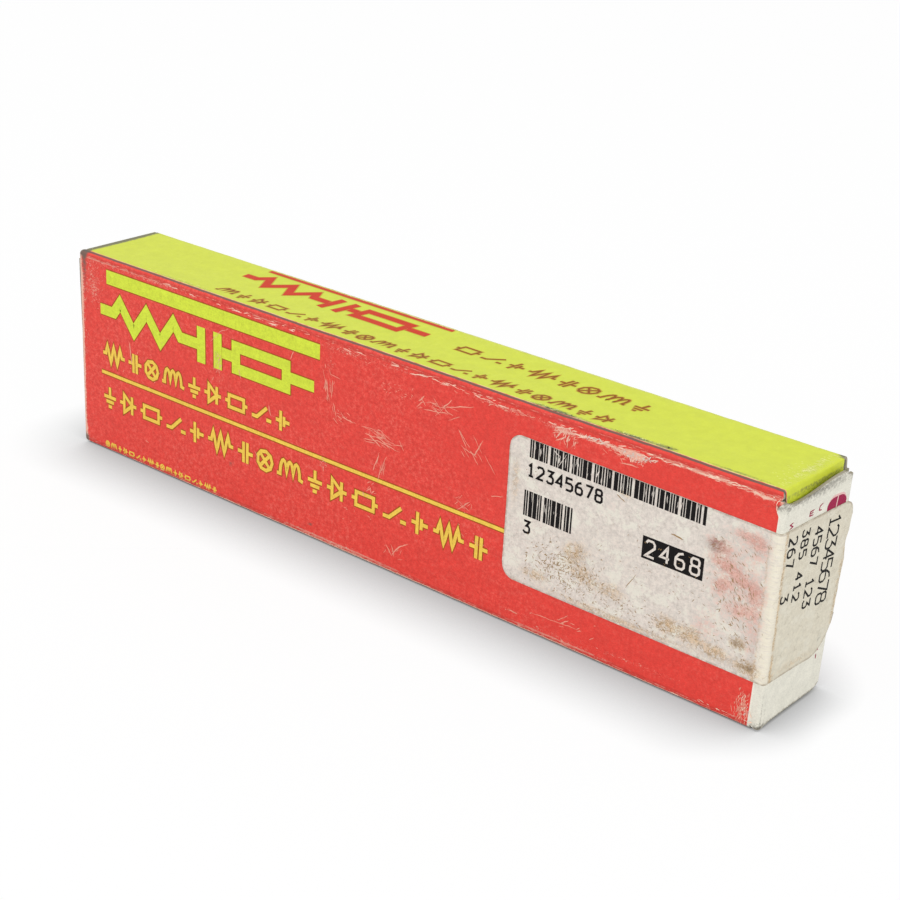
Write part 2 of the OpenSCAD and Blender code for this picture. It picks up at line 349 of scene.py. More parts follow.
def board_depth(p, u, v):
    """How far in millimetres the board lies inside its true place.

    Each panel bows in between its folds as (1 - q squared) squared, the folds
    waver a little, there are a few dents, and all of it dies out at the ends.
    The glue flap goes with the back panel that it is glued to.
    """
    depth = np.zeros(np.shape(u))
    behind = p.back_v[0] + p.height - 2 * p.fold - (p.flap_v[1] - v)
    v = np.where(v < p.flap_v[1], behind, v)
    for (low, high), bow in ((p.front_v, 0.12), (p.back_v, 0.3), (p.top_v, 0.2), (p.bottom_v, 0.15)):
        q = np.clip((v - (low + high) / 2) / ((high - low) / 2), -1, 1)
        depth += bow * (1 - q * q) ** 2 * (1 + 0.3 * ripple(u / 6, low))
    for number, fold in enumerate(p.folds):
        depth += 0.03 * (1 + ripple(u, number)) * np.exp(-(((v - fold) / 0.9) ** 2))
    depth += spots(u, v, DENTS)
    return SUNK + depth * (1 - smooth(np.abs(u), p.tube_half - 6, p.tube_half))


def sleeve_surface(p, u, v, lift=0.0):
    """The sleeve's outer face: its section is four flats joined by quarter folds, carried along X."""
    u, v = np.broadcast_arrays(np.asarray(u, float), np.asarray(v, float))
    quarter = (p.arc, -math.pi / 2)
    runs = [
        (p.flap_top - p.fold, 0), quarter, (p.flat_d - p.board, 0), quarter,
        (p.height - 2 * p.fold, 0), quarter, (p.flat_d, 0), quarter, (p.height, 0),
    ]
    start = (p.half_d - p.board, p.flap_top)
    points, normals = bent_path(start, -math.pi / 2, runs, v - p.flap_v[0])
    points = points + normals * (lift - board_depth(p, u, v))[..., None]
    return np.concatenate([u[..., None], points], axis=-1)


def swing(p, side, points, z, share):
    """Turns points in plan about the crease: pushed in at the bottom, ajar at the top."""
    low, high = p.closure_z
    angle = (PUSHED_IN - (p.ajar[side] + PUSHED_IN) * np.clip((z - low) / (high - low), 0, 1)) * share
    x, y = points[..., 0] - p.axis_x, points[..., 1] + p.axis_y
    turned_x = x * np.cos(angle) - y * np.sin(angle) + p.axis_x
    turned_y = x * np.sin(angle) + y * np.cos(angle) - p.axis_y
    return np.stack([side * turned_x, side * turned_y, z], axis=-1)


def closure_runs(p):
    """Runs of a closure's plan from the join: margin, crease, end panel, tuck fold, curved lip."""
    ease = math.asin((p.fold - p.crease) / p.lip_r)
    return [
        (p.axis_x - p.join_x, 0), (math.pi / 2 * p.crease, math.pi / 2), (p.lip_r - p.fold, 0),
        ((math.pi / 2 + ease) * p.fold, math.pi / 2 + ease),
        (LIP_LENGTH, LIP_LENGTH / p.lip_r),
    ]


def panel_bow(p, reach, z):
    """How far the end panel bows in: a parabola across it times one up it, 0.3 mm at its middle."""
    share = reach / (p.lip_r - p.fold)
    middle = (p.closure_z[0] + p.closure_z[1]) / 2
    return 0.3 * np.clip(4 * share * (1 - share), 0, 1) * np.clip(1 - ((z - middle) / middle) ** 2, 0, 1)


def closure_surface(p, side, along, z, lift=0.0):
    """A closure's outer face: the plan of closure_runs carried up Z and twisted about the crease.

    The left closure's tuck fold also swells towards the front panel on its upper
    half, as a bell curve across the fold, because it isn't pushed home there.
    """
    along, z = np.broadcast_arrays(np.asarray(along, float), np.asarray(z, float))
    runs = closure_runs(p)
    points, normals = bent_path((p.join_x, -p.half_d), 0.0, runs, along)
    margin, turn, flat, fold = (length for length, _ in runs[:4])
    bow = panel_bow(p, along - margin - turn, z)
    points = points - normals * (lift - SUNK - bow)[..., None]
    if side < 0:
        middle = margin + turn + flat + fold / 2
        points[..., 1] += 0.5 * np.exp(-(((along - middle) / 1.1) ** 2)) * smooth(z, 14, 28)
    return swing(p, side, points, z, smooth(along, margin, margin + turn))


def dust_surface(p, side, upper, along, y):
    """A dust flap's outer face: straight on, over a sharp quarter fold and straight down inside."""
    along, y = np.broadcast_arrays(np.asarray(along, float), np.asarray(y, float))
    runs = [(p.fold - p.dust_r, 0), (math.pi / 2 * p.dust_r, -math.pi / 2), (20, 0)]
    points, normals = bent_path((p.tube_half, p.height), 0.0, runs, along)
    points = points - normals * SUNK
    z = points[..., 1] if upper else p.height - points[..., 1]
    return np.stack([side * points[..., 0], side * y, z], axis=-1)


def dust_sides(p, upper):
    """Y of a dust flap's two sides at the right end: towards the hinged panel and towards the tuck."""
    return -(p.half_d - p.fold if upper else p.half_d - 1.9), p.half_d - 1.5


def dust_outline(p, depth, upper):
    """Y of a dust flap's two sides at a depth below its fold: straight, a shoulder, then round tips."""
    near0, far0 = dust_sides(p, upper)
    past = np.clip(depth - DUST_TIP_Z, 0, DUST_TIP_R)
    round_in = DUST_TIP_R - np.sqrt(np.maximum(DUST_TIP_R**2 - past**2, 0))
    near = near0 + 3.5 * np.clip(depth / DUST_TIP_Z, 0, 1) + round_in
    far = far0 - 2.5 * np.clip((depth - 5) / 3, 0, 1) - round_in
    return near, far


def label_surface(p, a, b, lift=LABEL_LIFT):
    """The label's outer face: a runs along it from the crease, b up it from its lower edge.

    The label is tilted a little on the front and more on the closure, and its
    plan is the front panel, the crease's quarter turn and a straight run out.
    Small wrinkles cross the crease: a sine of b under a bell curve of a.
    """
    a, b = np.broadcast_arrays(np.asarray(a, float), np.asarray(b, float))
    tilt = LABEL_TILT + (LABEL_END_TILT - LABEL_TILT) * smooth(a, -1.5, 3.5)
    along = a * np.cos(tilt) + b * np.sin(tilt)
    z = LABEL_Z - a * np.sin(tilt) + b * np.cos(tilt)
    turn = math.pi / 2 * p.crease
    runs = [(LABEL_LEAD, 0), (turn, math.pi / 2), (30, 0)]
    points, normals = bent_path((p.axis_x - LABEL_LEAD, -p.half_d), 0.0, runs, along + LABEL_LEAD)
    bow = panel_bow(p, along - turn, z)
    depth = np.where(along < 0, board_depth(p, p.axis_x + along, z), SUNK + bow) - SUNK
    wrinkle = 0.022 * (1 - np.sin(2 * math.pi * b / 1.1 + 2 * ripple(b, 1.0))) * np.exp(-((a / 0.9) ** 2))
    points = points - normals * (lift - depth - wrinkle)[..., None]
    return swing(p, 1, points, z, smooth(along, 0, turn))


def patch(points, place, edge=None, ink=None, keep=None, flip=False):
    """A grid of points: each has a place on the blank, and its way to a cut edge and into the print."""
    shape = points.shape[:2]

    def spread(value):
        return np.broadcast_to(FAR if value is None else value, shape)

    return {
        "points": points, "place": np.stack(np.broadcast_arrays(*place), axis=-1),
        "edge": spread(edge), "ink": spread(ink),
        "keep": np.ones((shape[0] - 1, shape[1] - 1), bool) if keep is None else keep, "flip": flip,
    }


def welded(patches):
    """One vertex list for several grids: equal corners, to a micrometre, become one vertex."""

    def gather(name, width):
        return np.concatenate([grid[name].reshape(-1, width) for grid in patches])

    points = gather("points", 3)
    steps = np.round(points * 1000).astype(np.int64)
    _, first, name = np.unique(steps, axis=0, return_index=True, return_inverse=True)
    name = name.ravel()
    faces, offset = [], 0
    for grid in patches:
        rows, columns = grid["points"].shape[:2]
        index = offset + np.arange(rows * columns).reshape(rows, columns)
        quads = np.stack([index[:-1, :-1], index[1:, :-1], index[1:, 1:], index[:-1, 1:]], axis=-1)
        quads = quads[grid["keep"]]
        faces.append(quads[:, ::-1] if grid["flip"] else quads)
        offset += rows * columns
    faces = name[np.concatenate(faces)]
    used = np.unique(faces)
    renumber = np.zeros(len(first), np.int64)
    renumber[used] = np.arange(len(used))
    facts = {key: gather(key, 1).ravel()[first][used] for key in ("edge", "ink")}
    facts["place"] = gather("place", 2)[first][used]
    return points[first][used], renumber[faces], facts


def sheet(name, patches, materials, facts_of, thickness=0.0):
    """A piece from grid patches in millimetres; a thickness gives it inner and cut faces too."""
    points, faces, facts = welded(patches)
    facts.update(facts_of(facts["place"][:, 0], facts["place"][:, 1]))
    mesh = bpy.data.meshes.new(name)
    mesh.from_pydata((points * MM).tolist(), [], faces.tolist())
    place = mesh.attributes.new("place", "FLOAT_VECTOR", "POINT")
    place.data.foreach_set("vector", np.c_[facts.pop("place"), np.zeros(len(points))].ravel())
    for key, values in facts.items():
        mesh.attributes.new(key, "FLOAT", "POINT").data.foreach_set("value", values.astype(np.float32))
    piece = bpy.data.objects.new(name, mesh)
    bpy.context.scene.collection.objects.link(piece)
    for material in materials:
        mesh.materials.append(material)
    if thickness:
        wall = piece.modifiers.new("board", "SOLIDIFY")
        wall.thickness, wall.offset = thickness * MM, -1
        wall.material_offset, wall.material_offset_rim = 1, 2
        finished = piece.evaluated_get(bpy.context.evaluated_depsgraph_get())
        piece.data = bpy.data.meshes.new_from_object(finished)
        piece.data.name = name
        piece.modifiers.clear()
    piece.data.shade_smooth()
    piece.data.set_sharp_from_angle(angle=math.radians(40))
    return piece


def carton_facts(p):
    """Wear at each place of the blank: rubbed ink, dirt with some painted shade, and millimetres past the
    nearest long fold.

    Those millimetres count up into the narrow panels and down into the large ones,
    with LIME_OVER added at the back panel's folds, where the lime goes over.
    """

    def facts(u, v):
        past = np.stack([p.folds[0] - v, v - p.folds[1], p.folds[2] - v, v - p.folds[3]])
        nearest = np.argmin(np.abs(past), axis=0)[None]
        fold = np.take_along_axis(past, nearest, axis=0)[0] + np.where(nearest[0] > 1, LIME_OVER, 0.0)
        return {"fold": fold, "scuff": spots(u, v, SCUFFS), "grime": spots(u, v, GRIME_AND_SHADE)}

    return facts


def ink_depth(p, u, v):
    """How far in millimetres a place lies inside the printed area.

    The front's print stops on a slightly slanted line before the right crease,
    with a torn notch near its top, the back's on the same line turned half round,
    and the narrow panels' some way down their dust flaps.
    """
    front = (v > p.folds[0] - 0.6) & (v < p.folds[1])
    back = v > p.folds[2]
    slant, level = 0.029, 9
    torn = np.interp(v, [39.1, 39.5, 39.9, 40.6, 41.2, 42.0, 42.6], [0, -0.2, -0.45, -0.3, 0.1, 1.0, 2])
    front_edge = PRINT_END + slant * (v - level) + torn - u
    back_edge = PRINT_END + slant * (p.folds[2] + p.height - v - level) + u
    return np.select([front, back], [front_edge, back_edge], p.tube_half + DUST_PRINT - np.abs(u))


def torn_tip(p, v):
    """How far right the front panel reaches at v above the tear: a tip that bends over the fold."""
    return p.tube_half + np.interp(v, [TORN_V, 42.3, 42.9, 43.6, TIP_V], [0.6, 1.05, 1.1, 0.8, 0.1])


def crushed(along):
    """How far the crushed lower corner sags, below 0, at distances along the closure's plan."""
    return -0.4 * np.exp(-(((along - 0.8) / 1.9) ** 2)) * smooth(along, -0.7, -0.3)


def round_drop(radius, distance):
    """How far a quarter-round corner falls in, at a distance from the edge that it ends on."""
    inside = np.clip(radius - distance, 0, radius)
    return radius - np.sqrt(radius**2 - inside**2)


def squeeze(z, low, high, drop_low, drop_high, zone):
    """Moves rows in from a sheet's lower and upper edges, less and less over a zone beside each."""
    z = z + drop_low * np.clip(1 - (z - low) / zone, 0, 1)
    return z - drop_high * np.clip(1 - (high - z) / zone, 0, 1)


def sleeve_rows(p):
    """The v of every row of the sleeve, close together at folds and at the dust flaps' sides."""
    low, high = p.front_v
    (under0, under1), (over0, over1) = (dust_rows(p, upper) for upper in (False, True))
    return np.unique(np.round(np.concatenate([
        np.linspace(p.flap_v[1], p.bottom_v[0], 9), spaced(p.bottom_v[0], 0.3, under0[0], 0.3, under0[1]),
        spaced(under0[1], 0.8, under1[0], 0.3, under1[1], 0.3, p.bottom_v[1]),
        np.linspace(p.bottom_v[1], low, 9), spaced(low, 0.3, 3.9, 1.3, 38.7, 0.15, TORN_V, 0.15, high),
        np.linspace(high, p.top_v[0], 9), spaced(over0[0], 0.3, over0[1], 0.8, over1[0], 0.3, over1[1]),
        np.linspace(p.top_v[1], p.back_v[0], 9),
        spaced(p.back_v[0], 0.3, p.back_v[0] + 2, 1.3, p.back_v[1] - 2, 0.3, p.back_v[1]),
    ]), 6))


def dust_v(p, upper, y):
    """The v at which a dust flap's side at y leaves its narrow panel."""
    reach = y + p.half_d - p.fold
    return p.top_v[0] + reach if upper else p.bottom_v[1] - reach


def dust_rows(p, upper):
    """The v of the dust flaps' four sides on a narrow panel, as a lower and an upper pair."""
    near, far = dust_sides(p, upper)
    v = sorted(dust_v(p, upper, y) for y in (near, far, -near, -far))
    return v[:2], v[2:]


def raw_end(p, side, v):
    """Rows of the large panel that carries no closure at an end, and where its raw edge is at each.

    At the right that is the back panel: it is worn back a little all along, more in
    a bell curve beside the top dust flap, and by a step on its lower half. At the
    left it is the front panel, whose two corners are rounded, but not past worst.
    """
    far = dust_sides(p, True)[1]
    if side > 0:
        first, last = dust_v(p, True, far), p.back_v[1]
        rows = v[(v > first - NEAR) & (v < last + NEAR)]
        even, bell, bell_l, corner, step = 0.15, 0.55, 5, 0.2, 0.4
        torn = bell * np.exp(-(((rows - first) / bell_l) ** 2))
        stop = p.raw_x - even - torn - round_drop(corner, rows - first)
        return rows, stop - step * smooth(rows, last - 30, last - 16)
    first, last = dust_v(p, False, -far), dust_v(p, True, -far)
    rows = v[(v > first - NEAR) & (v < last + NEAR)]
    low_corner, top_corner, worst = 2.4, 2.0, 1.2
    drop = round_drop(low_corner, rows - first) + round_drop(top_corner, last - rows)
    return rows, p.raw_x - np.minimum(drop, worst)


def sleeve_patches(p):
    """The tube, the glue flap, the panels' ends and the dust flaps, as grids that share their corners."""
    u = spaced(-p.tube_half, 0.3, -FINE_U, 1.25, -GLUE_HALF, 1.25, GLUE_HALF, 1.25, FINE_U, 0.3,
               p.tube_half)
    v = sleeve_rows(p)
    low, high = p.front_v
    grids = []

    def add(u, v, keep=None, stop=p.raw_x):
        cut = np.minimum(stop - np.abs(u), np.abs(v - p.back_v[1]))
        grids.append(patch(sleeve_surface(p, u, v), (u, v), cut, ink_depth(p, u, v), keep))

    add(*np.meshgrid(u, v, indexing="ij"))

    share = np.linspace(0, 1, 5)[:, None]
    front = v[(v > low - NEAR) & (v < high + NEAR)]
    back = v[v > p.back_v[0] - NEAR]
    for side, rows in ((1, front), (-1, back)):
        end_u = side * (p.tube_half + share[::side] * (p.join_x - p.tube_half)) + 0 * rows
        end_v = rows + 0 * end_u
        keep = None
        if side > 0:
            end_v = end_v + crushed(end_u - p.join_x) * np.clip(1 - (rows - low) / 3, 0, 1)
            keep = np.broadcast_to(rows[1:] < TORN_V + 1e-4, (len(share) - 1, len(rows) - 1))
        add(end_u, end_v, keep)
    rows = v[(v > TORN_V - NEAR) & (v < TIP_V)]
    add(p.tube_half + share * (torn_tip(p, rows) - p.tube_half), rows + 0 * share)

    for side in (1, -1):
        rows, stop = raw_end(p, side, v)
        end_u = side * (p.tube_half + share[::side] * (stop - p.tube_half))
        add(end_u, rows + 0 * end_u, stop=stop)

    flap_u = u[np.abs(u) < GLUE_HALF + NEAR]
    flap_u, flap_v = np.meshgrid(flap_u, spaced(p.flap_v[0], 1.2, p.flap_v[1]), indexing="ij")
    taper = 4 / GLUE_HALF * (p.flap_v[1] - flap_v) / (p.flap_v[1] - p.flap_v[0])
    add(flap_u * (1 - taper), flap_v)

    for side in (1, -1):
        for upper in (True, False):
            grids.append(dust_patch(p, side, upper, v))
    return grids


def dust_patch(p, side, upper, v):
    """One dust flap as a grid that shares its first row with the narrow panel's end."""
    first_y = -(p.half_d - p.fold)
    y = side * (first_y + (v - p.top_v[0] if upper else p.bottom_v[1] - v))
    near0, far0 = dust_sides(p, upper)
    inside = (y > near0 - NEAR) & (y < far0 + NEAR)
    first, last = p.top_v if upper else p.bottom_v
    inside &= (v > first - NEAR) & (v < last + NEAR)
    arc = p.dust_arc
    tip, end = arc + 13.1, arc + 16.1
    along = spaced(0, 0.25, p.fold - p.dust_r, 0.08, arc, 0.6, tip, 0.2, end)
    along, y = np.meshgrid(along, y[inside], indexing="ij")
    row_v = np.broadcast_to(v[inside], y.shape)
    depth = np.maximum(along - arc + p.dust_r, 0)
    near, far = dust_outline(p, np.where(along < arc, 0.0, depth), upper)
    y = near + (y - near0) / (far0 - near0) * (far - near)
    u = side * (p.tube_half + along)
    edge = DUST_TIP_Z + DUST_TIP_R - depth
    points = dust_surface(p, side, upper, along, y)
    return patch(points, (u, row_v), edge, ink_depth(p, u, row_v), flip=side < 0)


def closure_patches(p, side):
    """One closure from its join to the tip of its lip, with a slit at each end of the tuck fold."""
    runs = [length for length, _ in closure_runs(p)]
    stops = np.cumsum(runs)
    slit = stops[3] + SLIT_WIDTH
    along = spaced(0, 0.175, stops[0], runs[1] / 8, stops[1], 0.3, stops[1] + 2, 1.2, stops[2] - 3, 0.3,
                   stops[2], runs[3] / 8, stops[3], SLIT_WIDTH, slit, 0.8, stops[4] - 5, 0.25, stops[4])
    low, high = p.closure_z
    rows = spaced(low, 0.4, low + SLIT_LENGTH, 1.2, high - SLIT_LENGTH, 0.4, high)
    along, z = np.meshgrid(along, rows, indexing="ij")
    flat, _ = bent_path((0, 0), 0.0, closure_runs(p), along)
    reach = flat[..., 1]
    past_fold = p.lip_r + 1 - reach
    lip = along > stops[3] + 0.1
    lip_in, lip_corner, fold_corner, fold_in, sag = 0.7, 5.0, 3.5, 1.1, 1.4
    lip_drop = lip_in + round_drop(lip_corner, stops[4] - along)
    drop_low = np.where(lip, lip_drop, round_drop(fold_corner, past_fold))
    drop_high = np.where(lip, lip_drop, fold_in * smooth(reach, p.lip_r - 2.4, p.lip_r + 0.2))
    if side > 0:
        drop_low = drop_low + crushed(along)
        drop_high = drop_high + (1 - smooth(along, 0.2, 3.4)) * (high - TORN_V)
        drop_high = drop_high + sag * smooth(along, 0.2, 3.4) * (1 - smooth(along, 5, 18))
    z = squeeze(z, low, high, drop_low, drop_high, SLIT_LENGTH)
    u = side * (p.join_x + along)
    v = z if side > 0 else p.back_v[0] + p.height - p.fold - z
    middle = (rows[1:] + rows[:-1]) / 2
    in_slit = (along[:-1, :1] > stops[3] - 0.01) & (along[1:, :1] < slit + 0.01)
    keep = ~(in_slit & ((middle < low + SLIT_LENGTH) | (middle > high - SLIT_LENGTH)))
    edge = np.min([z - low - drop_low, high - drop_high - z, np.abs(stops[4] - along)], axis=0)
    return [patch(closure_surface(p, side, along, z), (u, v), edge, ink_depth(p, u, v), keep)]


def on_label(p):
    """A function from the label's flat coordinates and a lift to a patch on it."""
    return lambda a, b, lift: patch(label_surface(p, a, b, lift), (a + p.axis_x, b + LABEL_Z))


def label_patches(p):
    """The label as one grid across the crease, with round corners and a worn, wavy far edge.

    Its flat length is measured in the middle of the CAD's label, which is
    LABEL_SOLID thick, so at the crease the quarter turn of half of that is left out.
    """
    a_end = p.label_l - p.label_front - math.pi / 4 * LABEL_SOLID
    left, low_zone, top_zone = -p.label_front, 9.0, 6.0
    a = spaced(left, 0.2, left + 3, 1.2, -2, 0.25, 2.5, 1.0, a_end - 8, 0.3, a_end)
    b = spaced(0, 0.25, p.label_h)
    a, b = np.meshgrid(a, b, indexing="ij")
    corner, worn = 2.8, 7.0
    low_drop = round_drop(corner, a - left) + round_drop(worn, a_end - a)
    top_drop = round_drop(corner, a - left) + round_drop(corner, a_end - a)
    top_drop = top_drop + np.interp(a, [left, 0, a_end], [0.4, 1.1, 0.1])
    b = b + low_drop * np.clip(1 - b / low_zone, 0, 1)
    b = b - top_drop * np.clip(1 - (p.label_h - b) / top_zone, 0, 1)
    wavy = 0.7 + 0.16 * ripple(b, 2.0) + 0.5 * np.exp(-(((b - 20.5) / 1.6) ** 2))
    a = a - wavy * smooth(a, a_end - 7, a_end)
    edge = np.min([b - low_drop, p.label_h - top_drop - b, a - left, a_end - a], axis=0)
    return [patch(label_surface(p, a, b), (a + p.axis_x, b + LABEL_Z), edge)]


def crease_span(p, side):
    """Where the board starts and stops bending with a closure, as two points in metres."""
    before, behind = 0.05, 1.45
    start = (side * (p.join_x - before) * MM, -side * p.half_d * MM, 0)
    end = (side * p.half_l * MM, -side * (p.half_d - behind) * MM, 0)
    return start, end


def arc(x, y, wide, high, first, last):
    """Nine points of an oval arc, from a first to a last angle in degrees."""
    turn = np.radians(np.linspace(first, last, 9))
    return list(zip(x + wide * np.cos(turn), y + high * np.sin(turn)))


# Signs of a circuit drawing, one unit high: the width, open lines and closed lines of each
SIGNS = {
    "resistor": (1.64, [[(0, 0.5), (0.22, 0.5), (0.34, 1), (0.58, 0), (0.82, 1), (1.06, 0), (1.3, 1),
                         (1.42, 0.5), (1.64, 0.5)]], []),
    "capacitor": (0.95, [[(0, 0.5), (0.36, 0.5)], [(0.36, 0), (0.36, 1)], [(0.6, 0), (0.6, 1)],
                         [(0.6, 0.5), (0.95, 0.5)]], []),
    "lamp": (0.92, [[(0.15, 0.17), (0.77, 0.83)], [(0.15, 0.83), (0.77, 0.17)]],
             [arc(0.46, 0.5, 0.46, 0.46, 0, 320)]),
    "diode": (1.15, [[(0, 0.5), (0.3, 0.5)], [(0.85, 0.05), (0.85, 0.95)], [(0.85, 0.5), (1.15, 0.5)]],
              [[(0.3, 0.05), (0.85, 0.5), (0.3, 0.95)]]),
    "coil": (1.6, [[(0, 0.2), (0.2, 0.2)]
                   + [point for x in (0.4, 0.8, 1.2) for point in arc(x, 0.25, 0.2, 0.65, 180, 0)]
                   + [(1.6, 0.2)]], []),
    "earth": (0.84, [[(0.42, 1), (0.42, 0.5)], [(0, 0.5), (0.84, 0.5)], [(0.15, 0.26), (0.69, 0.26)],
                     [(0.3, 0.02), (0.54, 0.02)]], []),
    "block": (1.5, [[(0, 0.5), (0.25, 0.5)], [(1.25, 0.5), (1.5, 0.5)]],
              [[(0.25, 0.2), (1.25, 0.2), (1.25, 0.8), (0.25, 0.8)]]),
    "cell": (0.9, [[(0, 0.5), (0.32, 0.5)], [(0.32, 0), (0.32, 1)], [(0.54, 0.25), (0.54, 0.75)],
                   [(0.54, 0.5), (0.9, 0.5)]], []),
    "switch": (1.3, [[(0, 0.25), (0.35, 0.25), (1.0, 0.85)], [(0.98, 0.25), (1.3, 0.25)]], []),
}
SIGN_ORDER = ["resistor", "capacitor", "lamp", "coil", "earth", "diode", "block", "switch", "cell"]
# One bold line of a zigzag, two plates and a block, one unit high
BOLD_OPEN = [
    [(0, 0.5), (0.55, 0.5), (0.82, 0.84), (1.35, 0.16), (1.88, 0.84), (2.41, 0.16), (2.94, 0.84), (3.2, 0.5),
     (3.85, 0.5)],
    [(4.0, 0), (4.0, 1)], [(4.62, 0), (4.62, 1)], [(4.78, 0.5), (5.15, 0.5)], [(7.27, 0.5), (8.1, 0.5)],
]
BOLD_BLOCK = [(5.3, 0.2), (7.12, 0.2), (7.12, 0.8), (5.3, 0.8)]
# Plain digits of straight strokes, 0.6 wide and one unit high: open lines and closed lines of each
DIGITS = {
    "1": ([[(0.1, 0.78), (0.32, 1), (0.32, 0)], [(0.1, 0), (0.54, 0)]], []),
    "2": ([[(0, 0.84), (0.13, 1), (0.47, 1), (0.6, 0.84), (0.6, 0.62), (0, 0), (0.6, 0)]], []),
    "3": ([[(0.02, 1), (0.58, 1), (0.28, 0.58), (0.47, 0.58), (0.6, 0.44), (0.6, 0.15), (0.47, 0), (0.13, 0),
            (0, 0.15)]], []),
    "4": ([[(0.46, 0), (0.46, 1), (0, 0.3), (0.6, 0.3)]], []),
    "5": ([[(0.58, 1), (0.03, 1), (0, 0.58), (0.45, 0.58), (0.6, 0.44), (0.6, 0.15), (0.45, 0),
            (0, 0)]], []),
    "6": ([[(0.5, 1), (0.2, 0.9), (0, 0.6)]],
          [[(0, 0.15), (0.13, 0), (0.47, 0), (0.6, 0.15), (0.6, 0.42), (0.47, 0.56), (0, 0.56)]]),
    "7": ([[(0, 1), (0.6, 1), (0.22, 0)]], []),
    "8": ([], [[(0.13, 0), (0.47, 0), (0.6, 0.13), (0.6, 0.42), (0.47, 0.54), (0.13, 0.54), (0, 0.42),
                (0, 0.13)],
               [(0.13, 0.54), (0.47, 0.54), (0.57, 0.66), (0.57, 0.88), (0.47, 1), (0.13, 1), (0.03, 0.88),
                (0.03, 0.66)]]),
}
# Scratches on the front panel, in blank millimetres
SCRATCHES = [
    [(-13, 35.9), (-10, 35.7)], [(-12.2, 35), (-12.4, 31)], [(-13.8, 34.7), (-14, 32)],
    [(-12, 30.5), (-11, 27.5)], [(-9.7, 28.2), (-6.5, 27.8)], [(-4.6, 27.8), (0.4, 28.3), (2.4, 26.4)],
    [(-4.2, 25.3), (-0.5, 26.1), (5.2, 25.4)], [(-3, 26.8), (0.6, 25)], [(9.8, 37.9), (11.1, 36.4)],
    [(10.7, 38.4), (9.3, 36.8)], [(12.7, 38.6), (15.2, 36.4)], [(10.5, 35.7), (16.4, 36.5)],
    [(0, 23.3), (-1.4, 19.6)], [(1.9, 23.7), (0.2, 19.1)], [(-22.5, 38), (-23.4, 36)],
    [(-46, 33.5), (-43, 36.5), (-40.3, 37.8)], [(-37.9, 30), (-37.1, 28)], [(-29.4, 24.8), (-28.7, 22.6)],
    [(19, 34.3), (21.8, 31.4)], [(20.2, 31), (23, 30.5), (24.7, 33.9)], [(25.2, 31.2), (27.9, 28)],
    [(15, 37.4), (22.5, 39.6)], [(15, 37.2), (17.2, 39.4)], [(43.9, 5.2), (46, 6.8)],
    [(44.5, 4.8), (46.3, 5.9)], [(19, 20.7), (22.5, 19)], [(19.4, 18.5), (22.4, 21)],
    [(42.7, 40), (40.5, 38.7)], [(43.4, 41), (43, 38)], [(41.5, 40.6), (39.8, 39.9)],
    [(81.2, 5.0), (81.8, 2.5)], [(82.6, 6.2), (83.1, 3.9)], [(83.3, 3.6), (83.8, 1.6)],
    [(80.4, 3.2), (80.8, 1.8)], [(32.7, 3.1), (34.9, 2.9)], [(37.3, 4.3), (48.7, 4.9)],
    [(-66, 6.2), (-64.8, 5.9)], [(-70.5, 27.2), (-69.8, 22)], [(30, 24.5), (27, 23.8)],
    [(54, 38.9), (58, 39.2)], [(-33, 14), (-32, 11.8)], [(2.6, 5.7), (4.3, 3.7)],
    [(4.2, 4.2), (6.4, 6.6), (8.2, 7.6)], [(3.9, 6.3), (4.9, 3.6)],
]
# Bundles of finer scratches: u, v, half sizes, heading and its spread in degrees, length, how many
BUNDLES = [
    (-13, 33, 1.2, 3.6, 95, 20, 2.0, 14), (-9, 28, 2.2, 1.0, -10, 30, 1.6, 9),
    (0, 26.8, 4.6, 1.3, -15, 25, 2.6, 24), (0.5, 21.3, 1.2, 1.4, 75, 8, 3.6, 4),
    (3, 37.4, 4, 1.6, 30, 70, 0.7, 26), (14, 37.3, 3.6, 1.3, 0, 45, 2.6, 14),
    (22.5, 31.6, 3.0, 2.0, -50, 18, 3.2, 7), (-2, 15.5, 2.2, 2.2, 40, 50, 1.1, 14),
    (21, 20, 1.8, 1.2, 40, 50, 1.4, 8), (82.3, 3.6, 1.0, 2.6, 80, 22, 0.9, 90),
    (43, 39.6, 2.3, 1.2, 60, 60, 1.4, 16), (55, 40.3, 3.6, 0.8, 5, 40, 1.2, 30),
    (-84.3, 28, 0.6, 9, 90, 30, 0.8, 26), (-81, 37, 3.0, 4.6, 0, 90, 0.45, 70),
    (-44, 29, 1.6, 3.4, 70, 25, 1.4, 16), (70, 42.0, 12, 0.35, 2, 15, 1.4, 44),
    (30, 41.5, 10, 0.5, 2, 15, 1.1, 26), (-10, 41.4, 6, 0.7, 2, 30, 0.8, 22),
    (24, 14, 5, 3, 20, 60, 1.0, 10), (45, 5, 6, 1.6, 10, 30, 1.2, 10), (-70, 24, 8, 7, 70, 60, 0.6, 16),
    (-14.3, 17.2, 0.9, 1.2, 60, 60, 0.8, 10), (4.6, 4.6, 1.8, 1.0, 45, 40, 1.2, 8),
    (-6, 9, 5, 2, 30, 60, 0.7, 10),
]
# Fibres that stand out along torn and crushed board near the right end of the front panel
FIBRES = [
    [(84.9, 42.3), (84.4, 41.7), (84.2, 41.0)], [(84.3, 41.1), (84.4, 40.4), (84.6, 39.9)],
    [(83.9, 42.1), (83.5, 42.3)], [(84.6, 2.2), (84.0, 3.4)], [(84.7, 1.6), (83.9, 1.2)],
]
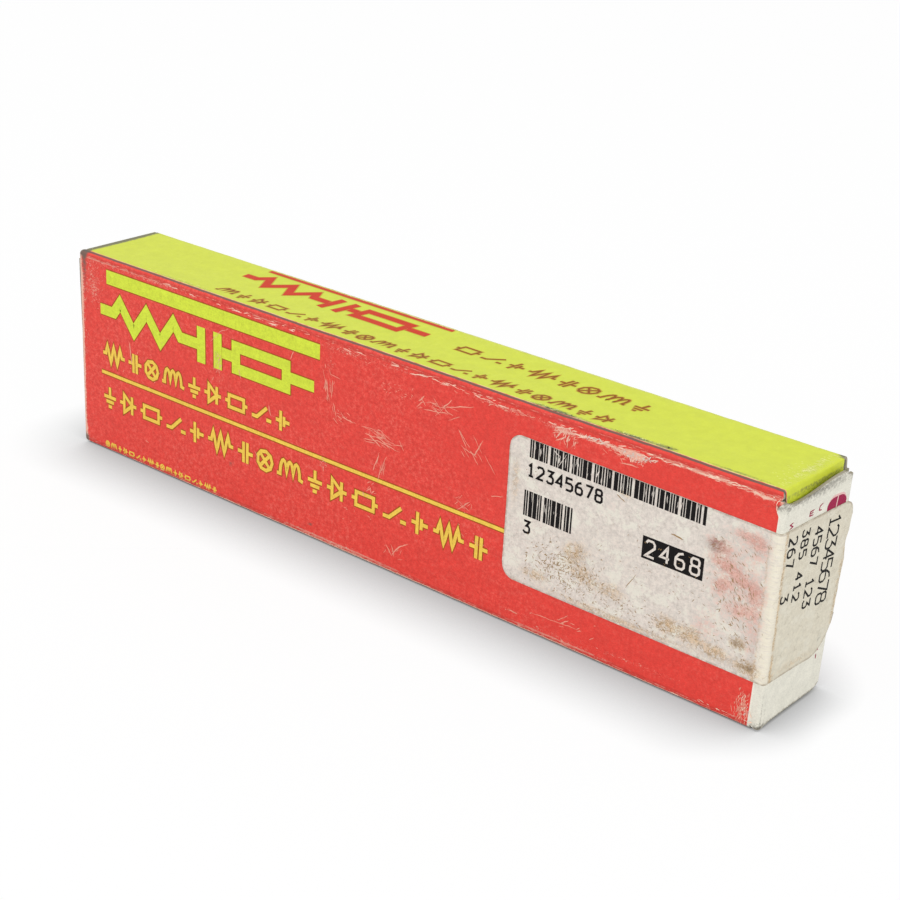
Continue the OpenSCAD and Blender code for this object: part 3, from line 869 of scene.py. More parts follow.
# Bundles of fibres where the board's face is torn, of their bare white cores, and of pale and dark
# strokes over the lime
FIBRE_BUNDLES = [
    (50, 41.3, 9, 0.5, 3, 20, 1.6, 46), (72, 42.0, 11, 0.3, 3, 12, 1.6, 46),
    (18, 42.0, 14, 0.35, 2, 12, 2.0, 26), (-35, 42.2, 32, 0.3, 2, 10, 2.0, 30),
    (57, 40.5, 1.8, 0.7, 95, 50, 0.7, 36), (42, 40.2, 2.4, 0.8, 70, 25, 1.3, 16),
    (47, 41.4, 3, 0.4, 30, 60, 0.7, 14), (82.7, 3.2, 0.7, 2.2, 85, 18, 0.6, 30),
    (78, 1.3, 4.5, 0.2, 0, 20, 0.9, 14), (-82.5, 40, 1.2, 1.4, 0, 90, 0.4, 16),
    (0, 0.5, 66, 0.1, 0, 4, 2.2, 90),
]
CORE_BUNDLES = [
    (56.4, 40.7, 1.7, 0.6, 80, 60, 0.6, 34), (59, 41.1, 2.4, 0.35, 5, 40, 0.9, 18),
    (49, 41.4, 2.6, 0.3, 5, 40, 0.8, 14), (83.4, 2.6, 0.5, 1.4, 85, 18, 0.6, 14),
    (-82.6, 41.2, 1.0, 0.4, 0, 60, 0.4, 10),
]
LIME_BUNDLES = [
    (83.3, 54, 0.6, 7.0, 5, 35, 0.9, 130), (81.6, 51, 1.6, 5, 20, 60, 0.5, 60),
    (56, 44.9, 3.5, 0.4, 5, 40, 0.8, 26), (39, 44.7, 5, 0.3, 3, 30, 0.9, 22),
    (0, 63.2, 66, 0.2, 0, 10, 1.8, 110), (-60, 45.2, 20, 0.5, 0, 30, 0.8, 30),
]
LIME_SCUFFS = [
    (55, 44.7, 3.0, 0.35, 5, 60, 0.5, 30), (62.3, 45.1, 1.3, 0.35, 10, 60, 0.5, 26),
    (39, 44.5, 4, 0.25, 3, 50, 0.5, 22),
]
# A pill, small hooks and ticks on the closure beside the label, as strokes in y and z
CLOSURE_MARKS = [
    ([(2.7, 36.8), (8.3, 36.6)], 3.3, False),
    ([(1.2, 38.4), (0.3, 38.1), (0.2, 37.4), (1.0, 37.2)], 0.24, False),
    ([(-1.3, 38.0), (-2.5, 37.9), (-2.6, 37.2), (-1.4, 37.1)], 0.24, False),
    ([(-2.5, 37.5), (-1.5, 37.6)], 0.2, False),
    ([(-7.4, 37.6), (-8.4, 37.4), (-7.5, 36.9), (-8.5, 36.6)], 0.24, False),
    ([(6.9, 9.4), (7.0, 8.7)], 0.3, False), ([(6.6, 8.2), (6.7, 7.2)], 0.3, False),
]
CLOSURE_SPLIT = [([(5.6, 38.4), (5.3, 34.9)], 0.28, False)]
# Scratches, bundles of brown strokes and of dirt, and chips on the label, in its own millimetres
LABEL_SCRATCHES = [[(-27.9, 7.4), (-26, 10.7)], [(-31.5, 23.9), (-29.5, 23)], [(-20, 20.6), (-17.5, 20.2)]]
LABEL_BUNDLES = [
    (-41, 6.0, 7.0, 4.0, 30, 80, 0.7, 420), (-22, 3.2, 11, 2.0, 0, 70, 0.6, 200),
    (-3.6, 2.6, 1.5, 1.4, 40, 60, 0.4, 80), (-6, 15, 4, 8, -50, 30, 0.8, 150),
    (-24, 12, 12, 7, 20, 70, 0.5, 80), (-49, 22, 3, 5, 80, 60, 0.4, 34),
    (-10.5, 21, 2.2, 2.0, 40, 60, 0.4, 36), (-5, 7, 3.5, 3.5, 30, 70, 0.45, 60),
    (-14, 9, 5, 3, 30, 50, 0.8, 16),
]
LABEL_SOOT = [
    (-11.7, 21.9, 1.0, 0.7, 30, 60, 0.3, 30), (-5.1, 5.7, 0.7, 0.5, 0, 90, 0.3, 14),
    (-3.2, 1.9, 1.3, 0.9, 10, 60, 0.3, 40), (-31, 18, 13, 7, 0, 90, 0.22, 46),
    (-39, 6, 7, 3.5, 0, 90, 0.22, 34), (-36.2, 16.5, 1.0, 0.9, 0, 60, 0.3, 14),
    (-6, 14, 4, 6, 0, 90, 0.22, 40), (-18, 2.5, 9, 1.4, 0, 80, 0.25, 40),
]
CHIP_BUNDLES = [
    (-41, 26.3, 7, 0.9, 88, 4, 1.6, 22), (-25, 26.0, 8, 0.9, 88, 4, 1.4, 14),
    (-45.5, 16, 3, 1.4, 88, 4, 1.6, 8),
]
LABEL_CHIPS = [[(-43.9, 24.8), (-42.3, 27.8)], [(-45.2, 27.6), (-43.6, 26.8)], [(-36, 25.4), (-35.2, 27)]]


def eased(points, step, closed=False):
    """A polyline with more points, none over step apart, and the sideways vector at each.

    The sideways vector is the mean of the two stretches' left normals over the
    cosine of half the turn, so that a ribbon keeps its width round a corner.
    """
    points = np.array(points, float)
    if closed:
        points = np.vstack([points, points[:1]])
    points = points[np.r_[True, np.any(np.diff(points, axis=0) != 0, axis=1)]]
    rows = []
    for start, stop in zip(points[:-1], points[1:]):
        count = max(1, math.ceil(np.linalg.norm(stop - start) / step))
        rows.append(start + (stop - start) * (np.arange(count) / count)[:, None])
    line = np.concatenate(rows + [points[-1:]])
    ahead = np.diff(line, axis=0)
    ahead = ahead / np.linalg.norm(ahead, axis=1)[:, None]
    before = np.vstack([ahead[-1:] if closed else ahead[:1], ahead])
    after = np.vstack([ahead, ahead[:1] if closed else ahead[-1:]])
    mean = before + after
    mean = mean / np.linalg.norm(mean, axis=1)[:, None]
    cosine = np.maximum(np.sum(mean * after, axis=1), 0.5)
    return line, np.stack([-mean[:, 1], mean[:, 0]], axis=1) / cosine[:, None]


def bundled(bundles, seed=4):
    """Short straight strokes strewn over each bundle's oval, headed roughly the way that it gives."""
    random = np.random.default_rng(seed)
    strokes = []
    for u, v, ru, rv, heading, spread, length, count in bundles:
        middles = np.clip(random.normal(0, 0.6, (count, 2)), -1.2, 1.2) * (ru, rv) + (u, v)
        angles = np.radians(heading + spread * random.normal(0, 0.6, count))
        halves = length / 2 * random.uniform(0.4, 1.3, count)
        widths = random.uniform(0.06, 0.14, count)
        for middle, angle, half, width in zip(middles, angles, halves, widths):
            reach = half * np.array([math.cos(angle), math.sin(angle)])
            strokes.append(([middle - reach, middle + reach], width, False))
    return strokes


def ribbons(place, strokes, lift, step=1.2, taper=0.0, waver=0.0):
    """Flat stripes along strokes; place gives a patch from flat coordinates and a lift.

    Stripes that follow each other lie a hair apart, in turns of five, so that they
    share no plane. A width is multiplied by 1.02 - taper times t to the fourth, t
    going from -1 to 1, and by 1 + waver times a slow wave, which also moves it to
    and fro.
    """
    patches = []
    for number, (points, width, closed) in enumerate(strokes):
        line, left = eased(points, step, closed)
        t = np.linspace(-1, 1, len(line))
        wave = waver * ripple(1.7 * step * np.arange(len(line)), number)
        wide = width * (1.02 - taper * t**4) * (1 + wave)
        line = line + 0.25 * wave[:, None] * left
        across = np.linspace(-0.5, 0.5, max(2, math.ceil(width) + 1))
        flat = line[:, None, :] + left[:, None, :] * (across * wide[:, None])[..., None]
        patches.append(place(flat[..., 0], flat[..., 1], lift + HAIR * (number % 5)))
    return patches


def stripe(left, right, middle, width):
    """A straight level stroke."""
    return ([(left, middle), (right, middle)], width, False)


def drawn(shape, x, y, size, width, slant=0.0):
    """Strokes of a shape of open and closed lines, at a size, with its lower left corner at x, y."""
    open_lines, closed_lines = shape
    strokes = []
    for closed, lines in ((False, open_lines), (True, closed_lines)):
        for line in lines:
            points = [(x + size * (a + slant * b), y + size * b) for a, b in line]
            strokes.append((points, width, closed))
    return strokes


def sign_row(left, right, low, size, width, first, slant=0.0):
    """Signs side by side, starting with sign number first, for as far as they fit."""
    strokes, x, number = [], left, first
    while True:
        wide, *shape = SIGNS[SIGN_ORDER[number % len(SIGN_ORDER)]]
        if x + wide * size > right:
            return strokes
        strokes += drawn(shape, x, low, size, width, slant)
        x += (wide + 0.3) * size
        number += 1


def bold_line(left, low, size, width, slant=0.0):
    """The bold line of a zigzag, two plates and a block."""
    return drawn((BOLD_OPEN, [BOLD_BLOCK]), left, low, size, width, slant)


def number_row(text, left, low, size, pitch, width):
    """Plain digits side by side."""
    strokes = []
    for place, digit in enumerate(text):
        strokes += drawn(DIGITS[digit], left + place * pitch, low, size, width)
    return strokes


def bar_row(left, right, low, high, count, drop):
    """Upright bars that stand for nothing: a rule on k gives bar k and the gap after it their widths."""
    k = np.arange(count)
    bars = 1 + 0.75 * ((k * k * 5 + 3 * k) % 7 // 2)
    gaps = 0.48 + 0.95 * (k % 6 == 5) + 0.25 * (k % 4 == 1)
    starts = np.concatenate([[0], np.cumsum(bars + gaps)[:-1]])
    unit = (right - left) / (starts[-1] + bars[-1])
    middles = left + (starts + bars / 2) * unit
    fall = drop * (middles - left) / (right - left)
    return [([(m, low - f), (m, high - f)], w * unit, False) for m, f, w in zip(middles, fall, bars)]


def large_panel_marks(row_end, rule_end):
    """Bold and thin marks of a large panel, in millimetres from its middle and its lower edge."""
    bold = [stripe(-77.2, -15.6, 39.6, 3.0)] + bold_line(-79.4, 28.3, 7.7, 2.3)
    thin = [stripe(-79.6, rule_end, 18.0, 0.72)]
    thin += sign_row(-79, -17, 20.4, 4.2, 0.74, 0)
    thin += sign_row(-79, row_end, 10.4, 4.5, 0.74, 4)
    thin += sign_row(-78.8, -44, 0.95, 1.3, 0.3, 2)
    return bold, thin


def narrow_panel_marks():
    """Bold and thin marks of a narrow panel, in millimetres from its middle."""
    bold = [stripe(-48.4, 1.1, 9.1, 1.7)] + bold_line(-51.0, 0.5, 6.1, 1.7, 0.2)
    thin = sign_row(-48, 54, -7.7, 3.1, 0.42, 3, 0.25)
    thin += sign_row(6.4, 53.5, 1.0, 3.7, 0.45, 6, 0.25)
    return bold, thin


def panels(p):
    """For each panel, a function from its own flat coordinates and a lift to a patch on the sleeve."""
    def on_sleeve(u, v, lift):
        return patch(sleeve_surface(p, u, v, lift), (u, v))

    top = p.top_v[0] + p.flat_d / 2
    bottom = p.bottom_v[1] - p.flat_d / 2
    back = p.back_v[0] + p.height - p.fold
    return {
        "front": on_sleeve,
        "back": lambda s, t, lift: on_sleeve(-s, back - t, lift),
        "top": lambda s, t, lift: on_sleeve(s, top + t, lift),
        "bottom": lambda s, t, lift: on_sleeve(-s, bottom - t, lift),
    }


def label_marks():
    """Black marks on the label's front part: two rows of bars, two numbers and a box."""
    strokes = bar_row(-50.2, -13.6, 24.7, 28.1, 49, 0.5)
    strokes += number_row("12345678", -50.4, 21.2, 2.25, 2.1, 0.44)
    strokes += bar_row(-50.8, -40.2, 13.4, 18.3, 15, 0.1)
    strokes += number_row("3", -50.5, 10.2, 2.2, 2, 0.44)
    return strokes + [stripe(-25.4, -13.1, 16.3, 4.1)]


def end_marks():
    """Black numbers down the label's end part, as rows that read from the top down."""
    strokes = []
    rows = (("12345678", 26.7, 13.9, 3.1, 2.05), ("4567 123", 25.8, 9.7, 2.3, 1.9),
            ("385 412", 26.5, 5.7, 2.1, 1.95), ("267  3", 26.0, 1.9, 2.2, 2.05))
    for text, start, a, size, pitch in rows:
        for place, digit in enumerate(text):
            if digit != " ":
                strokes += drawn(DIGITS[digit], place * pitch - start, a, size, 0.36)
    return strokes


# Stains of the label, in its own millimetres: a, b, half sizes, turn, strength
PINK = [
    (-10.6, 21.7, 2.0, 1.0, -12, 0.75), (-9.3, 18.8, 2.6, 1.1, -15, 0.65), (-9.3, 14.9, 1.8, 1.2, 30, 0.6),
    (-5.4, 25.1, 2.6, 1.0, 0, 0.45), (-3.0, 24.0, 1.5, 1.8, 0, 0.45), (-5.4, 16.9, 2.4, 1.0, -20, 0.5),
    (-2.7, 15.5, 1.2, 1.6, 0, 0.5), (-5.3, 11.6, 2.4, 1.1, 10, 0.55), (-6, 17, 7.5, 11, 0, 0.36),
    (-12, 6, 3, 3, 0, 0.3), (-2.5, 9, 1.2, 6, 0, 0.3), (-33, 22, 5, 3, 0, 0.16),
]
BROWN = [
    (-39.1, 10.3, 2.2, 1.6, 20, 0.4), (-37, 6.5, 3.2, 1.6, -20, 0.35), (-47.4, 2.8, 3.2, 1.1, 0, 0.4),
    (-30.5, 5.6, 2.5, 1.5, 0, 0.3), (-18.9, 3.7, 2.3, 1.6, 0, 0.55), (-14.0, 3.5, 2.2, 1.7, 0, 0.55),
    (-9.2, 2.5, 2.4, 1.3, 0, 0.6), (-5.1, 5.7, 1.8, 1.3, 0, 0.5), (-3.0, 2.0, 2.4, 1.4, 0, 0.55),
    (-30, 24.5, 1.6, 0.5, -20, 0.4), (-30, 0.8, 16, 0.7, 0, 0.35), (-53, 20, 1.2, 6, 0, 0.25),
    (10, 1.2, 9, 1.0, 0, 0.25), (20.3, 12, 0.8, 12, 0, 0.35), (-33, 12, 22, 10, 0, 0.12),
]
SOOT = [
    (-11.2, 21.6, 1.9, 1.3, 20, 0.8), (-5.1, 5.7, 1.3, 0.9, 0, 0.6), (-3.0, 2.0, 1.8, 0.7, 10, 0.55),
    (-9.5, 1.6, 3.0, 0.4, 0, 0.4), (17.5, 3.5, 1.6, 0.8, 60, 0.3), (-52, 0.6, 1.5, 0.4, 0, 0.3),
    (-2.0, 5, 0.5, 5, 0, 0.25), (-35.6, 15.8, 0.8, 0.6, 0, 0.3),
]


def label_facts(p):
    """Stains at each place of the label, its brighter crease, partly rubbed and partly a painted highlight,
    and a darker line beside it, partly a dried tide line and partly painted shade of the bend.
    """

    def facts(u, v):
        a, b = u - p.axis_x, v - LABEL_Z
        past = a + b * math.sin(LABEL_END_TILT) * smooth(a, -1.5, 3.5) - 1.75 - 0.15 * ripple(b, 1.0)
        # Just past the crease, a darker line, partly a dried tide line and partly painted shade where the
        # label bends; the thin line before the crease is dirt
        tide_and_shade = 0.34 * np.exp(-((past / 0.34) ** 2)) + 0.3 * np.exp(-((past / 0.9) ** 2)) * (past > 0)
        tide_and_shade += 0.25 * np.exp(-(((a + 1.5 + 0.2 * ripple(b, 3.0)) / 0.3) ** 2))
        return {"pink": spots(a, b, PINK) * (1 - smooth(a, -0.8, 0.2)), "brown": spots(a, b, BROWN) + tide_and_shade,
                "soot": spots(a, b, SOOT), "bright": np.exp(-(((a - 0.1) / 1.25) ** 4)),
                "end": smooth(a, 0.2, 1.8)}

    return facts


class Nodes:
    """Short ways to add nodes to one tree and join them."""

    def __init__(self, tree):
        self.tree = tree

    def put(self, socket, value):
        """Gives an input its value, or joins it to the output that is given."""
        if isinstance(value, bpy.types.NodeSocket):
            self.tree.links.new(value, socket)
        elif value is not None:
            wide = socket.type == "RGBA" and len(value) == 3
            socket.default_value = (*value, 1.0) if wide else value

    def add(self, kind, inputs=None, **settings):
        """A new node with its settings and inputs."""
        node = self.tree.nodes.new(kind)
        for name, value in settings.items():
            setattr(node, name, value)
        for name, value in (inputs or {}).items():
            self.put(node.inputs[name], value)
        return node

    def math(self, operation, a, b=None):
        """One step of arithmetic."""
        inputs = {0: a} if b is None else {0: a, 1: b}
        return self.add("ShaderNodeMath", inputs, operation=operation).outputs[0]

    times = partialmethod(math, "MULTIPLY")
    plus = partialmethod(math, "ADD")
    minus = partialmethod(math, "SUBTRACT")
    most = partialmethod(math, "MAXIMUM")

    def scaled(self, vector, factor):
        """A vector times a number."""
        return self.add("ShaderNodeVectorMath", {0: vector, "Scale": factor}, operation="SCALE").outputs[0]

    def moved(self, vector, way):
        """The sum of two vectors."""
        return self.add("ShaderNodeVectorMath", {0: vector, 1: way}, operation="ADD").outputs[0]

    def ramp(self, value, low, high, start=0.0, end=1.0, smoothly=True):
        """From start below low to end above high, eased or straight between them."""
        kind = "SMOOTHSTEP" if smoothly else "LINEAR"
        inputs = {"Value": value, "From Min": low, "From Max": high, "To Min": start, "To Max": end}
        return self.add("ShaderNodeMapRange", inputs, interpolation_type=kind).outputs[0]

    def noise(self, place, scale, detail=4.0, rough=0.6, stretch=None):
        """Noise about 0.5; a stretch under 1 draws it out along that axis."""
        if stretch:
            place = self.add("ShaderNodeMapping", {"Vector": place, "Scale": stretch}).outputs[0]
        inputs = {"Vector": place, "Scale": scale, "Detail": detail, "Roughness": rough}
        return self.add("ShaderNodeTexNoise", inputs).outputs[0]

    def mix(self, factor, a, b):
        """A colour that goes from a to b as the factor goes from 0 to 1."""
        return self.add("ShaderNodeMix", {0: factor, 6: a, 7: b}, data_type="RGBA").outputs[2]

    def tint(self, colour, value):
        """A colour times a brightness."""
        return self.add("ShaderNodeHueSaturation", {"Value": value, "Color": colour}).outputs[0]

    def place(self):
        """The place on the blank, u and v in millimetres."""
        return self.add("ShaderNodeAttribute", attribute_name="place").outputs["Vector"]

    def fact(self, name):
        """A number that the mesh keeps at every point."""
        return self.add("ShaderNodeAttribute", attribute_name=name).outputs["Fac"]

    def group(self, tree, **inputs):
        """The outputs of a node group that is given its inputs."""
        return self.add("ShaderNodeGroup", inputs, node_tree=tree).outputs

    def first(self, vector):
        """A vector's first part."""
        return self.add("ShaderNodeSeparateXYZ", {0: vector}).outputs[0]

    def watched(self):
        """1 for a ray from the camera, straight or by way of gloss or glass, and 0 for any other."""
        seen = self.add("ShaderNodeLightPath").outputs
        straight = self.most(seen["Is Camera Ray"], seen["Is Glossy Ray"])
        return self.most(straight, seen["Is Transmission Ray"])


def node_group(name, inputs, outputs):
    """An empty shader group with named sockets: Place is a vector and all others are numbers."""
    tree = bpy.data.node_groups.new(name, "ShaderNodeTree")
    for way, sockets in (("INPUT", inputs), ("OUTPUT", outputs)):
        for socket in sockets.split():
            kind = "NodeSocketVector" if socket == "Place" else "NodeSocketFloat"
            tree.interface.new_socket(socket, in_out=way, socket_type=kind)
    nodes = Nodes(tree)
    return tree, nodes, nodes.add("NodeGroupInput").outputs, nodes.add("NodeGroupOutput")


def fibre_group():
    """Board and paper grain: fine fibres stretched along the sheet, and slow mottling."""
    tree, n, given, out = node_group("board fibres", "Place Size", "Height Mottle")
    scaled = n.scaled(given["Place"], given["Size"])
    n.put(out.inputs["Height"], n.noise(scaled, 5.0, 5.0, 0.7, (0.45, 1.0, 1.0)))
    n.put(out.inputs["Mottle"], n.noise(scaled, 0.35, 4.0, 0.6))
    return tree


def rub_group():
    """Where ink is rubbed off: a broken band beside an edge, joined with the given scuffs."""
    tree, n, given, out = node_group("rubbed ink", "Place Distance Width Amount Scuff", "Mask")
    band = n.math("DIVIDE", given["Distance"], given["Width"])
    band = n.math("POWER", 2.718, n.times(n.times(band, band), -1.0))
    near = n.plus(n.times(band, given["Amount"]), given["Scuff"])
    coarse = n.minus(n.noise(given["Place"], 0.9, 3.0, 0.6), 0.5)
    fine = n.minus(n.noise(given["Place"], 2.6, 6.0, 0.9, (0.55, 1.0, 1.0)), 0.5)
    level = n.plus(near, n.plus(coarse, n.times(fine, 3.4)))
    n.put(out.inputs["Mask"], n.times(n.ramp(level, 0.55, 0.8), n.ramp(near, 0.02, 0.25)))
    return tree


def line_group():
    """A worn line beside a fold, which wavers and breaks up; an Amount of 1 leaves it whole."""
    tree, n, given, out = node_group("worn line", "Place Across Middle Half Amount", "Mask")
    apart = n.add("ShaderNodeCombineXYZ", {2: n.times(given["Middle"], 9.0)}).outputs[0]
    moved = n.moved(given["Place"], apart)
    waver = n.minus(n.noise(moved, 0.35, 3.0, 0.6, (1.0, 0.2, 1.0)), 0.5)
    off = n.plus(n.minus(given["Across"], given["Middle"]),
                 n.times(waver, given["Half"]))
    share = n.math("DIVIDE", n.math("ABSOLUTE", off), given["Half"])
    broken = n.noise(moved, 0.9, 5.0, 0.75, (0.6, 1.8, 1.0))
    level = n.plus(broken, n.minus(given["Amount"], 0.5))
    whole = n.ramp(level, 0.42, 0.58)
    n.put(out.inputs["Mask"], n.times(whole, n.ramp(share, 0.55, 1.05, 1.0, 0.0)))
    return tree


def speck_group():
    """Small specks, denser where Density is higher."""
    tree, n, given, out = node_group("specks", "Place Size Density", "Mask")
    scaled = n.scaled(given["Place"], given["Size"])
    level = n.plus(n.noise(scaled, 2.6, 3.0, 0.8), given["Density"])
    n.put(out.inputs["Mask"], n.ramp(level, 0.74, 0.84))
    return tree


def crease_group():
    """Hairline creases: the borders of uneven cells, seen only in patches."""
    tree, n, given, out = node_group("hairline creases", "Place Size", "Mask")
    place = given["Place"]
    bend = n.add("ShaderNodeTexNoise", {"Vector": place, "Scale": 0.6, "Detail": 4.0}).outputs["Color"]
    bent = n.moved(n.scaled(bend, 2.2), place)
    sized = {"Vector": bent, "Scale": given["Size"]}
    cells = n.add("ShaderNodeTexVoronoi", sized, feature="DISTANCE_TO_EDGE")
    patches = n.ramp(n.noise(place, 0.35, 3.0), 0.5, 0.62)
    border = n.ramp(cells.outputs["Distance"], 0.0, 0.05, 1.0, 0.0)
    n.put(out.inputs["Mask"], n.times(border, patches))
    return tree


def principled(name, build, roughness=0.6, **constants):
    """A material whose build function adds nodes and returns its colour, roughness and height."""
    material = bpy.data.materials.new(name)
    material.use_nodes = True
    n = Nodes(material.node_tree)
    shader = material.node_tree.nodes["Principled BSDF"]
    shader.inputs["Roughness"].default_value = roughness
    for socket, value in constants.items():
        shader.inputs[socket.replace("_", " ")].default_value = value
    made = build(n)
    n.put(shader.inputs["Base Color"], made["colour"])
    if "rough" in made:
        n.put(shader.inputs["Roughness"], made["rough"])
    if "height" in made:
        bump = n.add("ShaderNodeBump", {"Height": made["height"], "Strength": 0.5, "Distance": 0.00005})
        n.put(shader.inputs["Normal"], bump.outputs[0])
    return material


def palette():
    """The colours of the panel's settings, by name."""
    c = bpy.context.scene.carton_colours
    return SimpleNamespace(**{k: tuple(getattr(c, k)) for k in c.__annotations__})


def shade(colour, factor):
    """A colour made lighter or darker."""
    return tuple(min(1.0, x * factor) for x in colour)


def worn_ink_with_painted_light(n, kit, colour, pale, dark):
    """An ink, with its pale and dark grain, under fold lines, painted highlight and sheen, rubbed edges,
    scuffs, specks, dirt and painted shade.
    """
    c = palette()
    place = n.place()
    fold, scuff, printed = n.fact("fold"), n.fact("scuff"), n.ramp(n.fact("ink"), 0.0, 0.2)
    grain = n.group(kit.fibre, Place=place, Size=1.0)
    lime = n.ramp(fold, 0.85, 0.95)

    def by_panel(on_red, on_lime):
        return n.ramp(lime, 0, 1, on_red, on_lime)

    fibres = n.ramp(grain["Height"], 0.3, 0.7, by_panel(0.9, 0.97), by_panel(1.07, 1.02))
    tone = n.times(n.ramp(grain["Mottle"], 0.3, 0.7, 0.97, 1.025), fibres)
    toned = n.tint(colour, tone)
    along = n.first(place)
    rubbed_red = n.noise(place, 0.045, 3.0, 0.6)
    speckle = n.noise(place, 1.15, 5.0, 0.85)
    strong = n.times(by_panel(1.0, 0.25), n.ramp(along, 5, 60, 1.2, 0.55, False))
    share = n.times(n.ramp(rubbed_red, 0.3, 0.65, 0.14, 0.55), strong)
    toned = n.mix(n.times(n.ramp(speckle, 0.46, 0.72), share), toned, pale)
    toned = n.mix(n.times(n.ramp(speckle, 0.34, 0.5, 0.24, 0.0), strong), toned, dark)
    blotch = n.noise(place, 0.5, 5.0, 0.75)
    toned = n.tint(toned, n.ramp(blotch, 0.3, 0.7, by_panel(0.93, 0.98), by_panel(1.05, 1.02)))
    worn_and_highlight_colour = n.mix(lime, c.worn, c.pale_lime)

    def line(middle, half, amount, share):
        mask = n.group(kit.line, Place=place, Across=fold, Middle=middle, Half=half, Amount=amount)["Mask"]
        return n.times(mask, n.times(printed, share))

    toned = n.mix(line(-0.75, 0.5, 0.85, 0.3), toned, shade(c.red, 0.45))
    # A pale line on the red side of each fold, partly rubbed ink and partly a painted highlight
    toned = n.mix(line(-1.0, 0.2, n.ramp(scuff, 0.0, 0.4, 0.35, 0.6), 0.35), toned, c.worn)
    shaded = n.mix(line(0.42, 0.33, 0.9, 0.9), toned, shade(c.cut, 0.28))
    # The pale line on the lime side is rubbed ink; the one on the red side is partly rubbed ink and partly a
    # painted highlight
    cream = n.most(line(0.88, 0.14, 0.55, 0.85), line(-0.72, 0.1, 0.44, 0.45))
    # A broad pale band on the red side of each fold, partly scuffs and partly a painted sheen
    fine = line(-1.6, 0.5, n.times(scuff, 0.8), 0.9)
    rubbed = n.group(kit.rub, Place=place, Distance=n.fact("edge"), Width=0.5, Amount=0.8, Scuff=scuff)
    dense = n.plus(n.times(scuff, 0.3), 0.045)
    specks = n.group(kit.speck, Place=place, Size=1.3, Density=dense)
    # The mask joins the pale fold lines, painted highlight and sheen among them, with rubbed ink and specks
    mask = n.most(n.most(cream, fine), n.times(rubbed["Mask"], 0.75))
    mask = n.most(mask, n.times(specks["Mask"], 0.4))
    worn = n.mix(mask, shaded, n.mix(printed, shade(c.cut, 0.9), worn_and_highlight_colour))
    # Dirt darkens the ink, and the same marks paint shade in the torn notch and above the right closure
    ragged = n.times(n.minus(n.noise(place, 1.5, 5.0, 0.8), 0.5), 1.7)
    grime = n.ramp(n.plus(n.fact("grime"), ragged), 0.1, 0.85, 0.0, 0.9)
    grime = n.times(grime, n.ramp(n.fact("grime"), 0.03, 0.3))
    dirty_and_shaded = n.mix(grime, worn, shade(c.cut, 0.3))
    height = n.minus(grain["Height"], mask)
    return {"colour": dirty_and_shaded, "rough": n.ramp(mask, 0.0, 1.0, 0.5, 0.8), "height": height}


def printed_board(kit):
    """The board's outer face: red large panels, lime narrow panels, bare past the print."""
    c = palette()

    def build(n):
        lime = n.ramp(n.fact("fold"), 0.85, 0.95)
        bare = n.ramp(n.fact("ink"), -0.05, 0.05, 1.0, 0.0)
        board = n.mix(n.ramp(n.fact("ink"), -0.5, -0.1, 0.0, 0.8), c.board, shade(c.board, 1.12))
        pale = n.mix(bare, n.mix(lime, c.blush, c.pale_lime), shade(c.board, 1.05))
        dark = n.mix(bare, n.mix(lime, shade(c.red, 0.4), shade(c.lime, 0.6)), shade(c.board, 0.6))
        return worn_ink_with_painted_light(n, kit, n.mix(bare, n.mix(lime, c.red, c.lime), board), pale, dark)

    return principled("printed board", build, Specular_IOR_Level=0.25)


def plain_board(name, colour, kit, dirt=0.5):
    """Unprinted board: mottled, fibrous, and darker near its cut edges."""

    def build(n):
        place = n.place()
        grain = n.group(kit.fibre, Place=place, Size=1.3)
        toned = n.tint(colour, n.ramp(grain["Mottle"], 0.25, 0.75, 0.92, 1.05))
        near = n.ramp(n.fact("edge"), 0.0, 1.6, dirt, 0.0)
        patchy = n.times(near, n.ramp(grain["Mottle"], 0.3, 0.7))
        return {"colour": n.mix(patchy, toned, shade(colour, 0.45)), "height": grain["Height"]}

    return principled(name, build, 0.8, Specular_IOR_Level=0.25)


